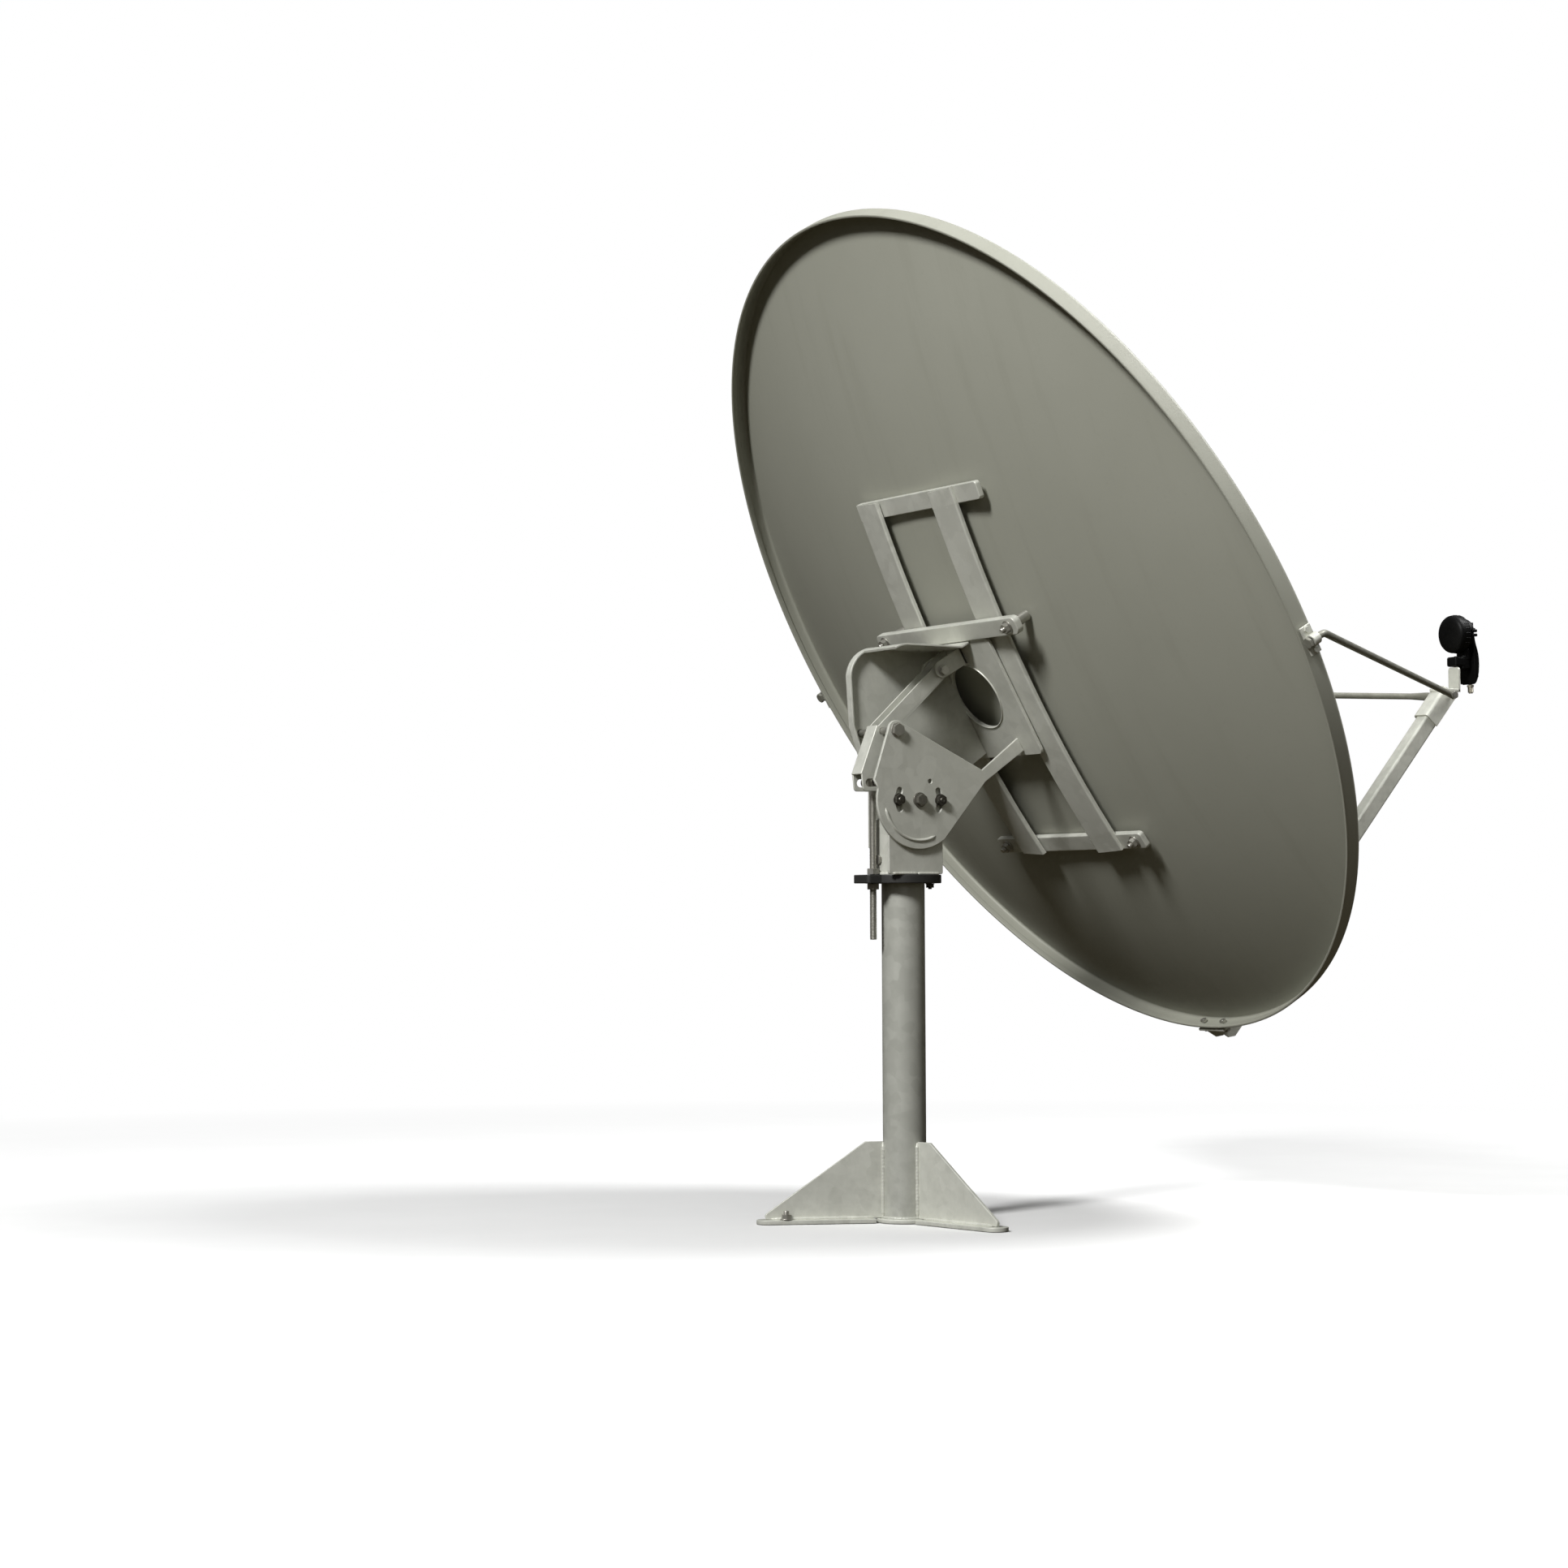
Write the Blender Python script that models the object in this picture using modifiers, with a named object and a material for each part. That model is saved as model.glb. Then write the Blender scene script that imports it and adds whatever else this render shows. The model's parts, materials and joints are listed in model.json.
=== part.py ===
"""Offset satellite dish on a floor-standing mast, as an assembly of separate pieces.

Metres, +Z up. The origin is on the mast's axis, on the face that rests on the slab. The dish looks
towards -Y and up. Left and right are as seen from behind the dish, so left is +X.
"""

import math

import bmesh
import bpy
from mathutils import Matrix, Vector

# ---------------------------------------------------------------- driving dimensions
# Reflector: a paraboloid of revolution cut by a round cylinder beside its axis.
APERTURE_RADIUS = 0.594
FOCAL_LENGTH = 0.75
APERTURE_OFFSET = 0.66
SHEET = 0.002
FLANGE_DEPTH = 0.026
FLANGE_OUT = 0.005
RIM_CENTRE = Vector((0, -0.222, 0.835))
RIM_TILT = math.radians(30.3)

# Mast and base
POLE_RADIUS = 0.03015
POLE_WALL = 0.0032
POLE_BOTTOM = 0.0063
POLE_TOP = 0.5535
FIN_REACH = 0.208
FIN_HEIGHT = 0.112
FIN_THICKNESS = 0.005
FIN_ANGLES = {"rear": 67.6, "right": 187.6, "front": 307.6}
FOOT_THICKNESS = 0.006

# Azimuth head
CANISTER_RADIUS = 0.0385
CANISTER_BOTTOM = 0.4823
CANISTER_TOP = 0.560
FLANGE_BOTTOM = 0.470
CHEEK_X = 0.0418
CHEEK_THICKNESS = 0.0045
LEFT_REAR_Y = 0.026
SET_BOLT_Z = 0.503
EARTH_BOLT_Y = -0.0445

# Elevation head
PIVOT = Vector((0, 0.004, 0.585))
SIDE_X = 0.0474
SIDE_THICKNESS = 0.005
QUADRANT_RADIUS = 0.068
SLOT_RADIUS = 0.034
SLOT_HALF_ANGLE = 22
CROSS_BOLT = Vector((0, 0.040, 0.681))
HUB_PLATE_BACK = 0.1283
HUB_PLATE_THICKNESS = 0.005
HUB_HOLE_RADIUS = 0.050

# Elevation screw
ROD_Y = 0.049
ROD_RADIUS = 0.005
ROD_BOTTOM = 0.392
PIN_Z = 0.610
PIN_RADIUS = 0.004

# Back frame
RAIL_X = 0.094
RAIL_WIDTH = 0.056
RAIL_DEPTH = 0.018
RAIL_SHEET = 0.0025
RAIL_LIP = 0.0045
BAR_HALF_LENGTH = 0.178
BAR_HEIGHT = 0.026
BAR_DEPTH = {"top": 0.0085, "mid": 0.011, "bottom": 0.0085}
BAR_LEFT = {"top": 0.131, "mid": BAR_HALF_LENGTH, "bottom": BAR_HALF_LENGTH}
BAR_OFF_DISH = 0.0010
BAR_U = {"top": 0.250, "mid": 0.062, "bottom": -0.296}
BOLT_X = 0.158

# Feed
ARM_SIDE = 0.025
ARM_WALL = 0.002
ARM_FOOT = Vector((0, -0.553, 0.254))
FEED_TIP = Vector((0, -0.986, 0.760))
STAY_RADIUS = 0.0048
STAY_U = -0.06
NECK_CENTRE = Vector((0, -1.0265, 0.857))
HORN_AIM = Vector((0, -0.130, 0.812))

GAP = 0.0004

# ---------------------------------------------------------------- collections and materials
COLLECTION = "satellite_dish"


def clear_scene():
    for obj in list(bpy.data.objects):
        bpy.data.objects.remove(obj, do_unlink=True)


def new_collection(name, hidden=False):
    collection = bpy.data.collections.new(name)
    bpy.context.scene.collection.children.link(collection)
    collection.hide_render = hidden
    return collection


def new_material(name, colour, roughness, metallic):
    material = bpy.data.materials.new(name)
    material.use_nodes = True
    shader = material.node_tree.nodes["Principled BSDF"]
    shader.inputs["Base Color"].default_value = (*colour, 1)
    shader.inputs["Roughness"].default_value = roughness
    shader.inputs["Metallic"].default_value = metallic
    return material


clear_scene()
parts = new_collection(COLLECTION)
helpers = new_collection("cutters", hidden=True)
galvanised = new_material("galvanised_steel", (0.42, 0.43, 0.39), 0.45, 0.6)
paint = new_material("reflector_paint", (0.45, 0.45, 0.40), 0.5, 0.0)
zinc = new_material("zinc_bolt", (0.35, 0.35, 0.33), 0.4, 0.9)
black = new_material("black_plastic", (0.012, 0.012, 0.013), 0.4, 0.0)
nylon = new_material("nylon", (0.75, 0.74, 0.70), 0.5, 0.0)
brass = new_material("connector_brass", (0.62, 0.50, 0.28), 0.3, 1.0)

# ---------------------------------------------------------------- frames of reference
TAU = math.atan(APERTURE_OFFSET / (2 * FOCAL_LENGTH))
RIM_HEIGHT_HALF = APERTURE_RADIUS / math.cos(TAU)


def axial(x, eta):
    """The paraboloid's height along its own axis, eta above that axis and x beside it."""
    return (x * x + eta * eta) / (4 * FOCAL_LENGTH)


RIM_AXIAL = (
    axial(0, APERTURE_OFFSET + APERTURE_RADIUS) + axial(0, APERTURE_OFFSET - APERTURE_RADIUS)
) / 2


def columns(x, y, z, origin):
    matrix = Matrix.Identity(4)
    for index, column in enumerate((x, y, z, origin)):
        for row in range(3):
            matrix[row][index] = column[row]
    return matrix


# Dish frame: X across, Y up the rim's plane, Z out of the bowl. Its origin is the rim's centre.
DISH = columns(
    (1, 0, 0),
    (0, math.sin(RIM_TILT), math.cos(RIM_TILT)),
    (0, -math.cos(RIM_TILT), math.sin(RIM_TILT)),
    RIM_CENTRE,
)


def upright(x):
    """The frame of an upright plate across X: its own X and Y are the world's Y and Z."""
    return columns((0, 1, 0), (0, 0, 1), (1, 0, 0), (x, 0, 0))


def along(start, end, side=Vector((1, 0, 0))):
    """A frame at start whose Z points to end and whose X is nearest to side."""
    z = (end - start).normalized()
    x = (side - z * side.dot(z)).normalized()
    return columns(x, z.cross(x), z, start)


def dish_point(x, eta, behind=0.0):
    """A point of the reflector's front surface in the dish frame, or this far behind it."""
    eta_from_centre = eta - APERTURE_OFFSET
    height = axial(x, eta) - RIM_AXIAL
    point = Vector(
        (
            x,
            eta_from_centre * math.cos(TAU) + height * math.sin(TAU),
            -eta_from_centre * math.sin(TAU) + height * math.cos(TAU),
        )
    )
    slope_x, slope_eta = x / (2 * FOCAL_LENGTH), eta / (2 * FOCAL_LENGTH)
    normal = Vector(
        (
            slope_x,
            slope_eta * math.cos(TAU) - math.sin(TAU),
            -slope_eta * math.sin(TAU) - math.cos(TAU),
        )
    ).normalized()
    return point + normal * behind


def eta_at(u, x=0.0):
    """The eta whose surface point lies u up the dish frame, by halving the interval."""
    low, high = 0.0, 2 * APERTURE_OFFSET
    for _ in range(40):
        middle = (low + high) / 2
        if dish_point(x, middle).y < u:
            low = middle
        else:
            high = middle
    return low


# ---------------------------------------------------------------- joint axes, as empties
def axis_empty(name, location, parent=None):
    empty = bpy.data.objects.new(name, None)
    parts.objects.link(empty)
    hang(empty, parent, Matrix.Translation(location))
    return empty


def hang(obj, parent, matrix):
    """Parents obj to a joint's empty and leaves it at this world matrix."""
    if parent:
        obj.parent = parent
        obj.matrix_parent_inverse = WORLD_OF[parent.name].inverted()
    obj.matrix_basis = matrix
    WORLD_OF[obj.name] = matrix


WORLD_OF = {}

# ---------------------------------------------------------------- modelling helpers


def finish(obj, material, smooth=40, bevel=0.0):
    obj.data.materials.append(material)
    if bevel:
        modifier = obj.modifiers.new("rounded_edges", "BEVEL")
        modifier.width = bevel
        modifier.segments = 1
        modifier.limit_method = "ANGLE"
        modifier.angle_limit = math.radians(50)
    obj.data.shade_smooth()
    obj.data.set_sharp_from_angle(angle=math.radians(smooth))
    return obj


def mesh_object(name, fill, parent, matrix, collection=None):
    """A mesh object whose geometry fill(bm) makes in a new bmesh."""
    bm = bmesh.new()
    fill(bm)
    bmesh.ops.recalc_face_normals(bm, faces=bm.faces)
    mesh = bpy.data.meshes.new(name)
    bm.to_mesh(mesh)
    bm.free()
    obj = bpy.data.objects.new(name, mesh)
    (collection or parts).objects.link(obj)
    hang(obj, parent, matrix)
    return obj


def block(name, size, centre, parent, matrix, material=None, bevel=0.0, collection=None):
    def fill(bm):
        bmesh.ops.create_cube(bm, size=1)
        bmesh.ops.scale(bm, vec=size, verts=bm.verts)
        bmesh.ops.translate(bm, vec=centre, verts=bm.verts)

    obj = mesh_object(name, fill, parent, matrix, collection)
    return finish(obj, material, bevel=bevel) if material else obj


def rounds(name, stack, parent, matrix, material=None, collection=None):
    """Coaxial cylinders and hexagons along Z, joined where they overlap: (radius, z0, z1, sides)."""

    def disc(bm, radius, low, high, sides):
        made = bmesh.ops.create_cone(
            bm, cap_ends=True, segments=sides, radius1=radius, radius2=radius, depth=high - low
        )
        bmesh.ops.translate(bm, vec=(0, 0, (low + high) / 2), verts=made["verts"])

    obj = mesh_object(name, lambda bm: disc(bm, *stack[0]), parent, matrix, collection)
    for index, piece in enumerate(stack[1:]):
        other = mesh_object(
            f"{name}_join_{index}", lambda bm: disc(bm, *piece), None, matrix, helpers
        )
        combine(obj, other, "UNION")
    return finish(obj, material) if material else obj


def turned(name, profile, parent, matrix, material, steps=40):
    """A profile of (radius, z) points turned about Z. It is closed unless its ends are on Z."""
    mesh = bpy.data.meshes.new(name)
    count = len(profile)
    on_axis = profile[0][0] == 0 and profile[-1][0] == 0
    edges = [(i, (i + 1) % count) for i in range(count - on_axis)]
    mesh.from_pydata([(radius, 0, z) for radius, z in profile], edges, [])
    obj = bpy.data.objects.new(name, mesh)
    parts.objects.link(obj)
    hang(obj, parent, matrix)
    screw = obj.modifiers.new("turn", "SCREW")
    screw.steps = screw.render_steps = steps
    screw.use_merge_vertices = True
    screw.merge_threshold = 0.00001
    obj.data.materials.append(material)
    return obj


def tube(name, outer, inner, low, high, parent, matrix, material, steps=40):
    """A plain tube: the profile runs down its outer side."""
    profile = [(outer, high), (outer, low), (inner, low), (inner, high)]
    return turned(name, profile, parent, matrix, material, steps)


def combine(obj, other, operation):
    """Adds a Boolean of obj with other, which becomes a hidden helper."""
    other.hide_render = True
    other.display_type = "WIRE"
    modifier = obj.modifiers.new(operation.lower(), "BOOLEAN")
    modifier.operation = operation
    modifier.solver = "EXACT"
    modifier.object = other


def arc(centre, radius, start, end, steps=8):
    """Points on an arc, in degrees."""
    points = []
    for index in range(steps + 1):
        angle = math.radians(start + (end - start) * index / steps)
        points.append((centre[0] + radius * math.cos(angle), centre[1] + radius * math.sin(angle)))
    return points


def circle(centre, radius, steps=16):
    return arc(centre, radius, 0, 360 - 360 / steps, steps - 1)


def slot(start, end, half_width, steps=5):
    """A straight slot with round ends between two centres."""
    angle = math.degrees(math.atan2(end[1] - start[1], end[0] - start[0]))
    first = arc(start, half_width, angle + 90, angle + 270, steps)
    return first + arc(end, half_width, angle - 90, angle + 90, steps)


def curved_slot(centre, radius, start, end, half_width, steps=6):
    """A slot along an arc about centre, with round ends."""
    outer = arc(centre, radius + half_width, start, end, steps)
    inner = arc(centre, radius - half_width, end, start, steps)
    end_centre = arc(centre, radius, end, end, 1)[0]
    start_centre = arc(centre, radius, start, start, 1)[0]
    cap_end = arc(end_centre, half_width, end, end + 180, 4)[1:-1]
    cap_start = arc(start_centre, half_width, start + 180, start + 360, 4)[1:-1]
    return outer + cap_end + inner + cap_start


def plate(name, outline, thickness, parent, matrix, material, holes=()):
    """A flat plate: a filled 2D curve with holes, extruded, then made a mesh with welded caps."""
    curve = bpy.data.curves.new(name, "CURVE")
    curve.dimensions = "2D"
    curve.fill_mode = "BOTH"
    curve.extrude = thickness / 2
    for points in (outline, *holes):
        spline = curve.splines.new("POLY")
        spline.points.add(len(points) - 1)
        for point, (x, y) in zip(spline.points, points):
            point.co = (x, y, 0, 1)
        spline.use_cyclic_u = True
    drawn = bpy.data.objects.new(name + "_drawn", curve)
    parts.objects.link(drawn)
    graph = bpy.context.evaluated_depsgraph_get()
    mesh = bpy.data.meshes.new_from_object(drawn.evaluated_get(graph))
    bpy.data.objects.remove(drawn)
    bm = bmesh.new()
    bm.from_mesh(mesh)
    bmesh.ops.remove_doubles(bm, verts=bm.verts, dist=0.00001)
    bmesh.ops.recalc_face_normals(bm, faces=bm.faces)
    bm.to_mesh(mesh)
    bm.free()
    mesh.name = name
    obj = bpy.data.objects.new(name, mesh)
    parts.objects.link(obj)
    hang(obj, parent, matrix)
    return finish(obj, material) if material else obj


def sheet_strip(name, rows, thickness, parent, matrix, material=None):
    """An open sheet through rows of points, given its thickness by Solidify."""

    def fill(bm):
        grid = [[bm.verts.new(point) for point in row] for row in rows]
        for lower, upper in zip(grid, grid[1:]):
            for i in range(len(lower) - 1):
                bm.faces.new((lower[i], lower[i + 1], upper[i + 1], upper[i]))

    obj = mesh_object(name, fill, parent, matrix)
    solidify = obj.modifiers.new("sheet", "SOLIDIFY")
    solidify.thickness = thickness
    solidify.offset = 0
    solidify.use_even_offset = True
    return finish(obj, material) if material else obj


def rod(name, points, radius, parent, material, sides=2):
    """A round rod along world points: a curve with a bevel and filled caps."""
    curve = bpy.data.curves.new(name, "CURVE")
    curve.dimensions = "3D"
    curve.bevel_depth = radius
    curve.bevel_resolution = sides
    curve.use_fill_caps = True
    spline = curve.splines.new("POLY")
    spline.points.add(len(points) - 1)
    for point, place in zip(spline.points, points):
        point.co = (*place, 1)
    obj = bpy.data.objects.new(name, curve)
    parts.objects.link(obj)
    hang(obj, parent, Matrix.Identity(4))
    curve.materials.append(material)
    return obj


# ---------------------------------------------------------------- base
def side_axis(centre):
    """A frame at centre whose Z runs along world +X, for cross bolts."""
    return columns((0, 1, 0), (0, 0, 1), (1, 0, 0), centre)


def build_base():
    ground = Matrix.Identity(4)
    rounds(
        "pole_foot_plate",
        [(0.040, 0, POLE_BOTTOM - GAP, 40), (POLE_RADIUS - POLE_WALL - 0.001, 0.004, 0.016, 40)],
        None,
        ground,
        galvanised,
    )
    inner = POLE_RADIUS - POLE_WALL
    tube("pole", POLE_RADIUS, inner, POLE_BOTTOM, POLE_TOP, None, ground, galvanised, steps=48)
    root = POLE_RADIUS + GAP
    foot_start = 0.043
    for side, degrees in FIN_ANGLES.items():
        turn = Matrix.Rotation(math.radians(degrees), 4, "Z")
        low = FOOT_THICKNESS + GAP
        outline = [
            (root, low),
            (FIN_REACH - 0.012, low),
            (FIN_REACH - 0.012, low + 0.008),
            (root + 0.028, FIN_HEIGHT - 0.004),
            (root + 0.024, FIN_HEIGHT),
            (root, FIN_HEIGHT),
        ]
        standing = turn @ columns((1, 0, 0), (0, 0, 1), (0, -1, 0), (0, 0, 0))
        plate(f"base_fin_{side}", outline, FIN_THICKNESS, None, standing, galvanised)
        half = 0.0175
        foot = arc((FIN_REACH - half, 0), half, -90, 90, 8)
        foot += [(foot_start, half), (foot_start, -half)]
        bolt_at = (FIN_REACH - 0.040, 0.0102)
        lying = turn @ Matrix.Translation((0, 0, FOOT_THICKNESS / 2))
        hole = circle(bolt_at, 0.0048, 12)
        plate(f"base_foot_{side}", foot, FOOT_THICKNESS, None, lying, galvanised, [hole])
        rounds(
            f"anchor_bolt_{side}",
            [
                (0.0043, 0.0002, 0.0185, 12),
                (0.0070, FOOT_THICKNESS + GAP, FOOT_THICKNESS + 0.0072, 6),
            ],
            None,
            turn @ Matrix.Translation((*bolt_at, 0)),
            zinc,
        )


# ---------------------------------------------------------------- azimuth head
def cheek_outline(side):
    """The upright cheek: square at the bottom, round about the pivot at the top.

    The left one stops short at the rear, so that the elevation screw can be reached past it.
    """
    y, z = PIVOT.y, PIVOT.z
    front = [(y - 0.042, z - 0.030), (y - 0.042, CANISTER_BOTTOM)]
    if side == "left":
        cut = LEFT_REAR_Y - y
        angle = math.degrees(math.acos(cut / 0.045))
        return [(y + cut, CANISTER_BOTTOM), *arc((y, z), 0.045, angle, 162, 10), *front]
    top = arc((y, z), 0.045, 18, 162, 12)
    return [(y + 0.046, CANISTER_BOTTOM), (y + 0.046, z - 0.030), *top, *front]


def build_azimuth_head(azimuth):
    ground = Matrix.Identity(4)
    bore = POLE_RADIUS + 0.0005
    turned(
        "az_canister",
        [
            (CANISTER_RADIUS, CANISTER_TOP),
            (CANISTER_RADIUS, CANISTER_BOTTOM),
            (bore, CANISTER_BOTTOM),
            (bore, CANISTER_TOP - 0.006),
            (0.006, CANISTER_TOP - 0.006),
            (0.006, CANISTER_TOP),
        ],
        azimuth,
        ground,
        galvanised,
        steps=48,
    )
    drill_canister(azimuth)
    for side, sign in (("left", 1), ("right", -1)):
        holes = [
            circle((PIVOT.y, PIVOT.z), 0.0064, 16),
            circle((PIVOT.y - SLOT_RADIUS, PIVOT.z), 0.0044, 12),
        ]
        if side == "right":
            holes.append(circle((PIVOT.y + SLOT_RADIUS, PIVOT.z), 0.0044, 12))
        frame = upright(sign * CHEEK_X)
        outline = cheek_outline(side)
        plate(f"az_cheek_{side}", outline, CHEEK_THICKNESS, azimuth, frame, galvanised, holes)
    ear = [(0.020, 0.051), (0.020, 0.060), (0.012, 0.070), (-0.012, 0.070), (-0.020, 0.060),
           (-0.020, 0.051)]
    flange = [*ear, *arc((0, 0), 0.0535, 112, 428, 30)]
    thickness = CANISTER_BOTTOM - GAP - FLANGE_BOTTOM
    middle = FLANGE_BOTTOM + thickness / 2
    plate(
        "az_flange",
        flange,
        thickness,
        azimuth,
        Matrix.Translation((0, 0, middle)),
        galvanised,
        [
            circle((0, 0), bore, 40),
            circle((0, ROD_Y), ROD_RADIUS + 0.0006, 14),
            circle((0, EARTH_BOLT_Y), 0.0033, 12),
        ],
    )
    build_set_bolts(azimuth)
    reach = SIDE_X + SIDE_THICKNESS / 2 + GAP
    rounds(
        "pivot_bolt",
        [
            (0.0058, -reach - 0.008, reach + 0.013, 20),
            (0.0125, -reach - 0.0022, -reach, 24),
            (0.0098, -reach - 0.0095, -reach - 0.002, 6),
            (0.0125, reach, reach + 0.0022, 24),
            (0.0098, reach + 0.002, reach + 0.0105, 6),
        ],
        azimuth,
        side_axis(PIVOT),
        zinc,
    )
    for side, sign in (("left", 1), ("right", -1)):
        for end, shift in (("front", -SLOT_RADIUS), ("rear", SLOT_RADIUS)):
            if (side, end) == ("left", "rear"):
                continue
            frame = side_axis((0, PIVOT.y + shift, PIVOT.z))
            if sign < 0:
                frame = frame @ Matrix.Rotation(math.pi, 4, "X")
            rounds(
                f"lock_bolt_{side}_{end}",
                [
                    (0.0039, CHEEK_X - CHEEK_THICKNESS / 2 - 0.0002, reach + 0.0050, 14),
                    (0.0080, reach, reach + 0.0060, 6),
                ],
                azimuth,
                frame,
                zinc,
            )
    nut_profiles = {
        "upper": (CANISTER_BOTTOM + 0.0001, CANISTER_BOTTOM + 0.0083),
        "lower": (FLANGE_BOTTOM - 0.0085, FLANGE_BOTTOM - GAP),
    }
    for level, (low, high) in nut_profiles.items():
        hexagon = circle((0, 0), 0.0092, 6)
        plate(
            f"jack_nut_{level}",
            hexagon,
            high - low,
            azimuth,
            Matrix.Translation((0, ROD_Y, (low + high) / 2)),
            zinc,
            [circle((0, 0), ROD_RADIUS + 0.0005, 14)],
        )


def set_bolt_frame(sign):
    """Z runs outward from the pole's surface, to the rear or to the front."""
    return columns((1, 0, 0), (0, 0, -sign), (0, sign, 0), (0, sign * POLE_RADIUS, SET_BOLT_Z))


def drill_canister(azimuth):
    for index, sign in enumerate((1, -1)):
        bore = rounds(
            f"set_bolt_bore_{index}",
            [(0.0044, -0.002, 0.012, 14)],
            None,
            set_bolt_frame(sign),
            collection=helpers,
        )
        combine(bpy.data.objects["az_canister"], bore, "DIFFERENCE")


def build_set_bolts(azimuth):
    """Two bolts through the canister's wall that grip the pole, and one under the flange."""
    for name, sign in (("rear", 1), ("front", -1)):
        rounds(
            f"set_bolt_{name}",
            [(0.0040, 0.0002, 0.0115, 14), (0.0070, 0.0088, 0.0126, 6)],
            azimuth,
            set_bolt_frame(sign),
            zinc,
        )
    rounds(
        "earth_bolt",
        [(0.0030, FLANGE_BOTTOM - 0.008, CANISTER_BOTTOM - 0.002, 12),
         (0.0062, FLANGE_BOTTOM - 0.0060, FLANGE_BOTTOM - GAP, 6)],
        azimuth,
        Matrix.Translation((0, EARTH_BOLT_Y, 0)),
        zinc,
    )


# ---------------------------------------------------------------- elevation screw
def build_jack(jack):
    eye_half = 0.0080
    eye_radius = 0.0105
    rod_frame = Matrix.Translation((0, ROD_Y, 0))
    obj = rounds(
        "jack_rod",
        [(ROD_RADIUS, ROD_BOTTOM, PIN_Z, 16)],
        jack,
        rod_frame,
    )
    eye = rounds(
        "jack_rod_eye",
        [(eye_radius, -eye_half, eye_half, 20)],
        None,
        side_axis((0, ROD_Y, PIN_Z)),
        collection=helpers,
    )
    combine(obj, eye, "UNION")
    bore = rounds(
        "jack_rod_bore",
        [(PIN_RADIUS + 0.0003, -0.03, 0.03, 16)],
        None,
        side_axis((0, ROD_Y, PIN_Z)),
        collection=helpers,
    )
    combine(obj, bore, "DIFFERENCE")
    finish(obj, zinc)
    rounds(
        "jack_pin",
        [(PIN_RADIUS, -0.0205, 0.0205, 16), (0.0072, -0.0205, -0.0172, 16),
         (0.0072, 0.0172, 0.0205, 16)],
        jack,
        side_axis((0, ROD_Y, PIN_Z)),
        zinc,
    )


# ---------------------------------------------------------------- elevation head
def from_dish(back, u):
    """World (y, z) of a point this far behind the rim's plane and u up it."""
    place = DISH @ Vector((0, u, -back))
    return (place.y, place.z)


def build_side_plates(elevation):
    y, z = PIVOT.y, PIVOT.z
    behind_hub = HUB_PLATE_BACK + HUB_PLATE_THICKNESS + 0.0005
    hub_top = from_dish(behind_hub, BAR_U["mid"] - BAR_HEIGHT / 2 - 0.001)
    hub_low = from_dish(behind_hub, -0.128)
    apex = (CROSS_BOLT.y, CROSS_BOLT.z)
    quadrant = arc((y, z), QUADRANT_RADIUS, 14, -128, 16)
    front_corner = (-0.106, 0.612)
    arm_top = from_dish(behind_hub, -0.108)
    low = [
        *arc(apex, 0.0135, 135, 30, 4),
        (0.0765, 0.612),
        *quadrant,
        front_corner,
        hub_low,
        arm_top,
        (-0.101, 0.628),
    ]
    corner = (0.0160, 0.7565)
    cut = LEFT_REAR_Y - y
    cut_angle = -math.degrees(math.acos(cut / QUADRANT_RADIUS))
    full = [
        hub_top,
        from_dish(behind_hub + 0.014, BAR_U["mid"] - BAR_HEIGHT / 2 - 0.0015),
        *arc(corner, 0.046, 93, 5, 8),
        (0.0570, 0.690),
        (0.0420, 0.648),
        (LEFT_REAR_Y, 0.624),
        *arc((y, z), QUADRANT_RADIUS, cut_angle, -128, 10),
        front_corner,
        hub_low,
    ]
    half = SLOT_HALF_ANGLE
    holes = [
        circle((y, z), 0.0063, 16),
        circle(apex, 0.0055, 14),
        curved_slot((y, z), SLOT_RADIUS, 180 - half, 180 + half, 0.0045),
        circle((y - 0.018, z + 0.026), 0.0032, 10),
    ]
    rear_slot = curved_slot((y, z), SLOT_RADIUS, -half, half, 0.0045)
    for side, sign, outline in (("left", 1, full), ("right", -1, low)):
        frame = upright(sign * SIDE_X)
        cuts = holes + [rear_slot] if side == "right" else holes
        obj = plate(
            f"side_plate_{side}", outline, SIDE_THICKNESS, elevation, frame, galvanised, cuts
        )
        if side == "left":
            fold_left_plate(obj, behind_hub, corner)
    reach = SIDE_X + SIDE_THICKNESS / 2 + GAP
    rounds(
        "strut_cross_bolt",
        [
            (0.0050, -reach - 0.006, reach + 0.011, 14),
            (0.0092, -reach - 0.0068, -reach, 6),
            (0.0092, reach, reach + 0.0080, 6),
        ],
        elevation,
        side_axis(CROSS_BOLT),
        zinc,
    )


def fold_left_plate(obj, back, corner):
    """The shelf and the rear lip folded from the full side plate, across behind the hub."""
    sheet = 0.003
    y, z = corner
    start = from_dish(back + 0.001, BAR_U["mid"] - BAR_HEIGHT / 2 - 0.003)
    rounded = arc((y, z), 0.0443, 93, 5, 8)
    shelf = [start, from_dish(back + 0.014, BAR_U["mid"] - BAR_HEIGHT / 2 - 0.0033), *rounded[:4]]
    lip = [*rounded[3:], (0.0560, 0.692), (0.0412, 0.6500)]
    for name, near, line in (("shelf", -0.046, shelf), ("lip", 0.0370, lip)):
        rows = [[(x, *point) for x in (near, SIDE_X)] for point in line]
        fold = sheet_strip(f"hub_{name}", rows, sheet, None, Matrix.Identity(4), galvanised)
        parts.objects.unlink(fold)
        helpers.objects.link(fold)
        combine(obj, fold, "UNION")


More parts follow.
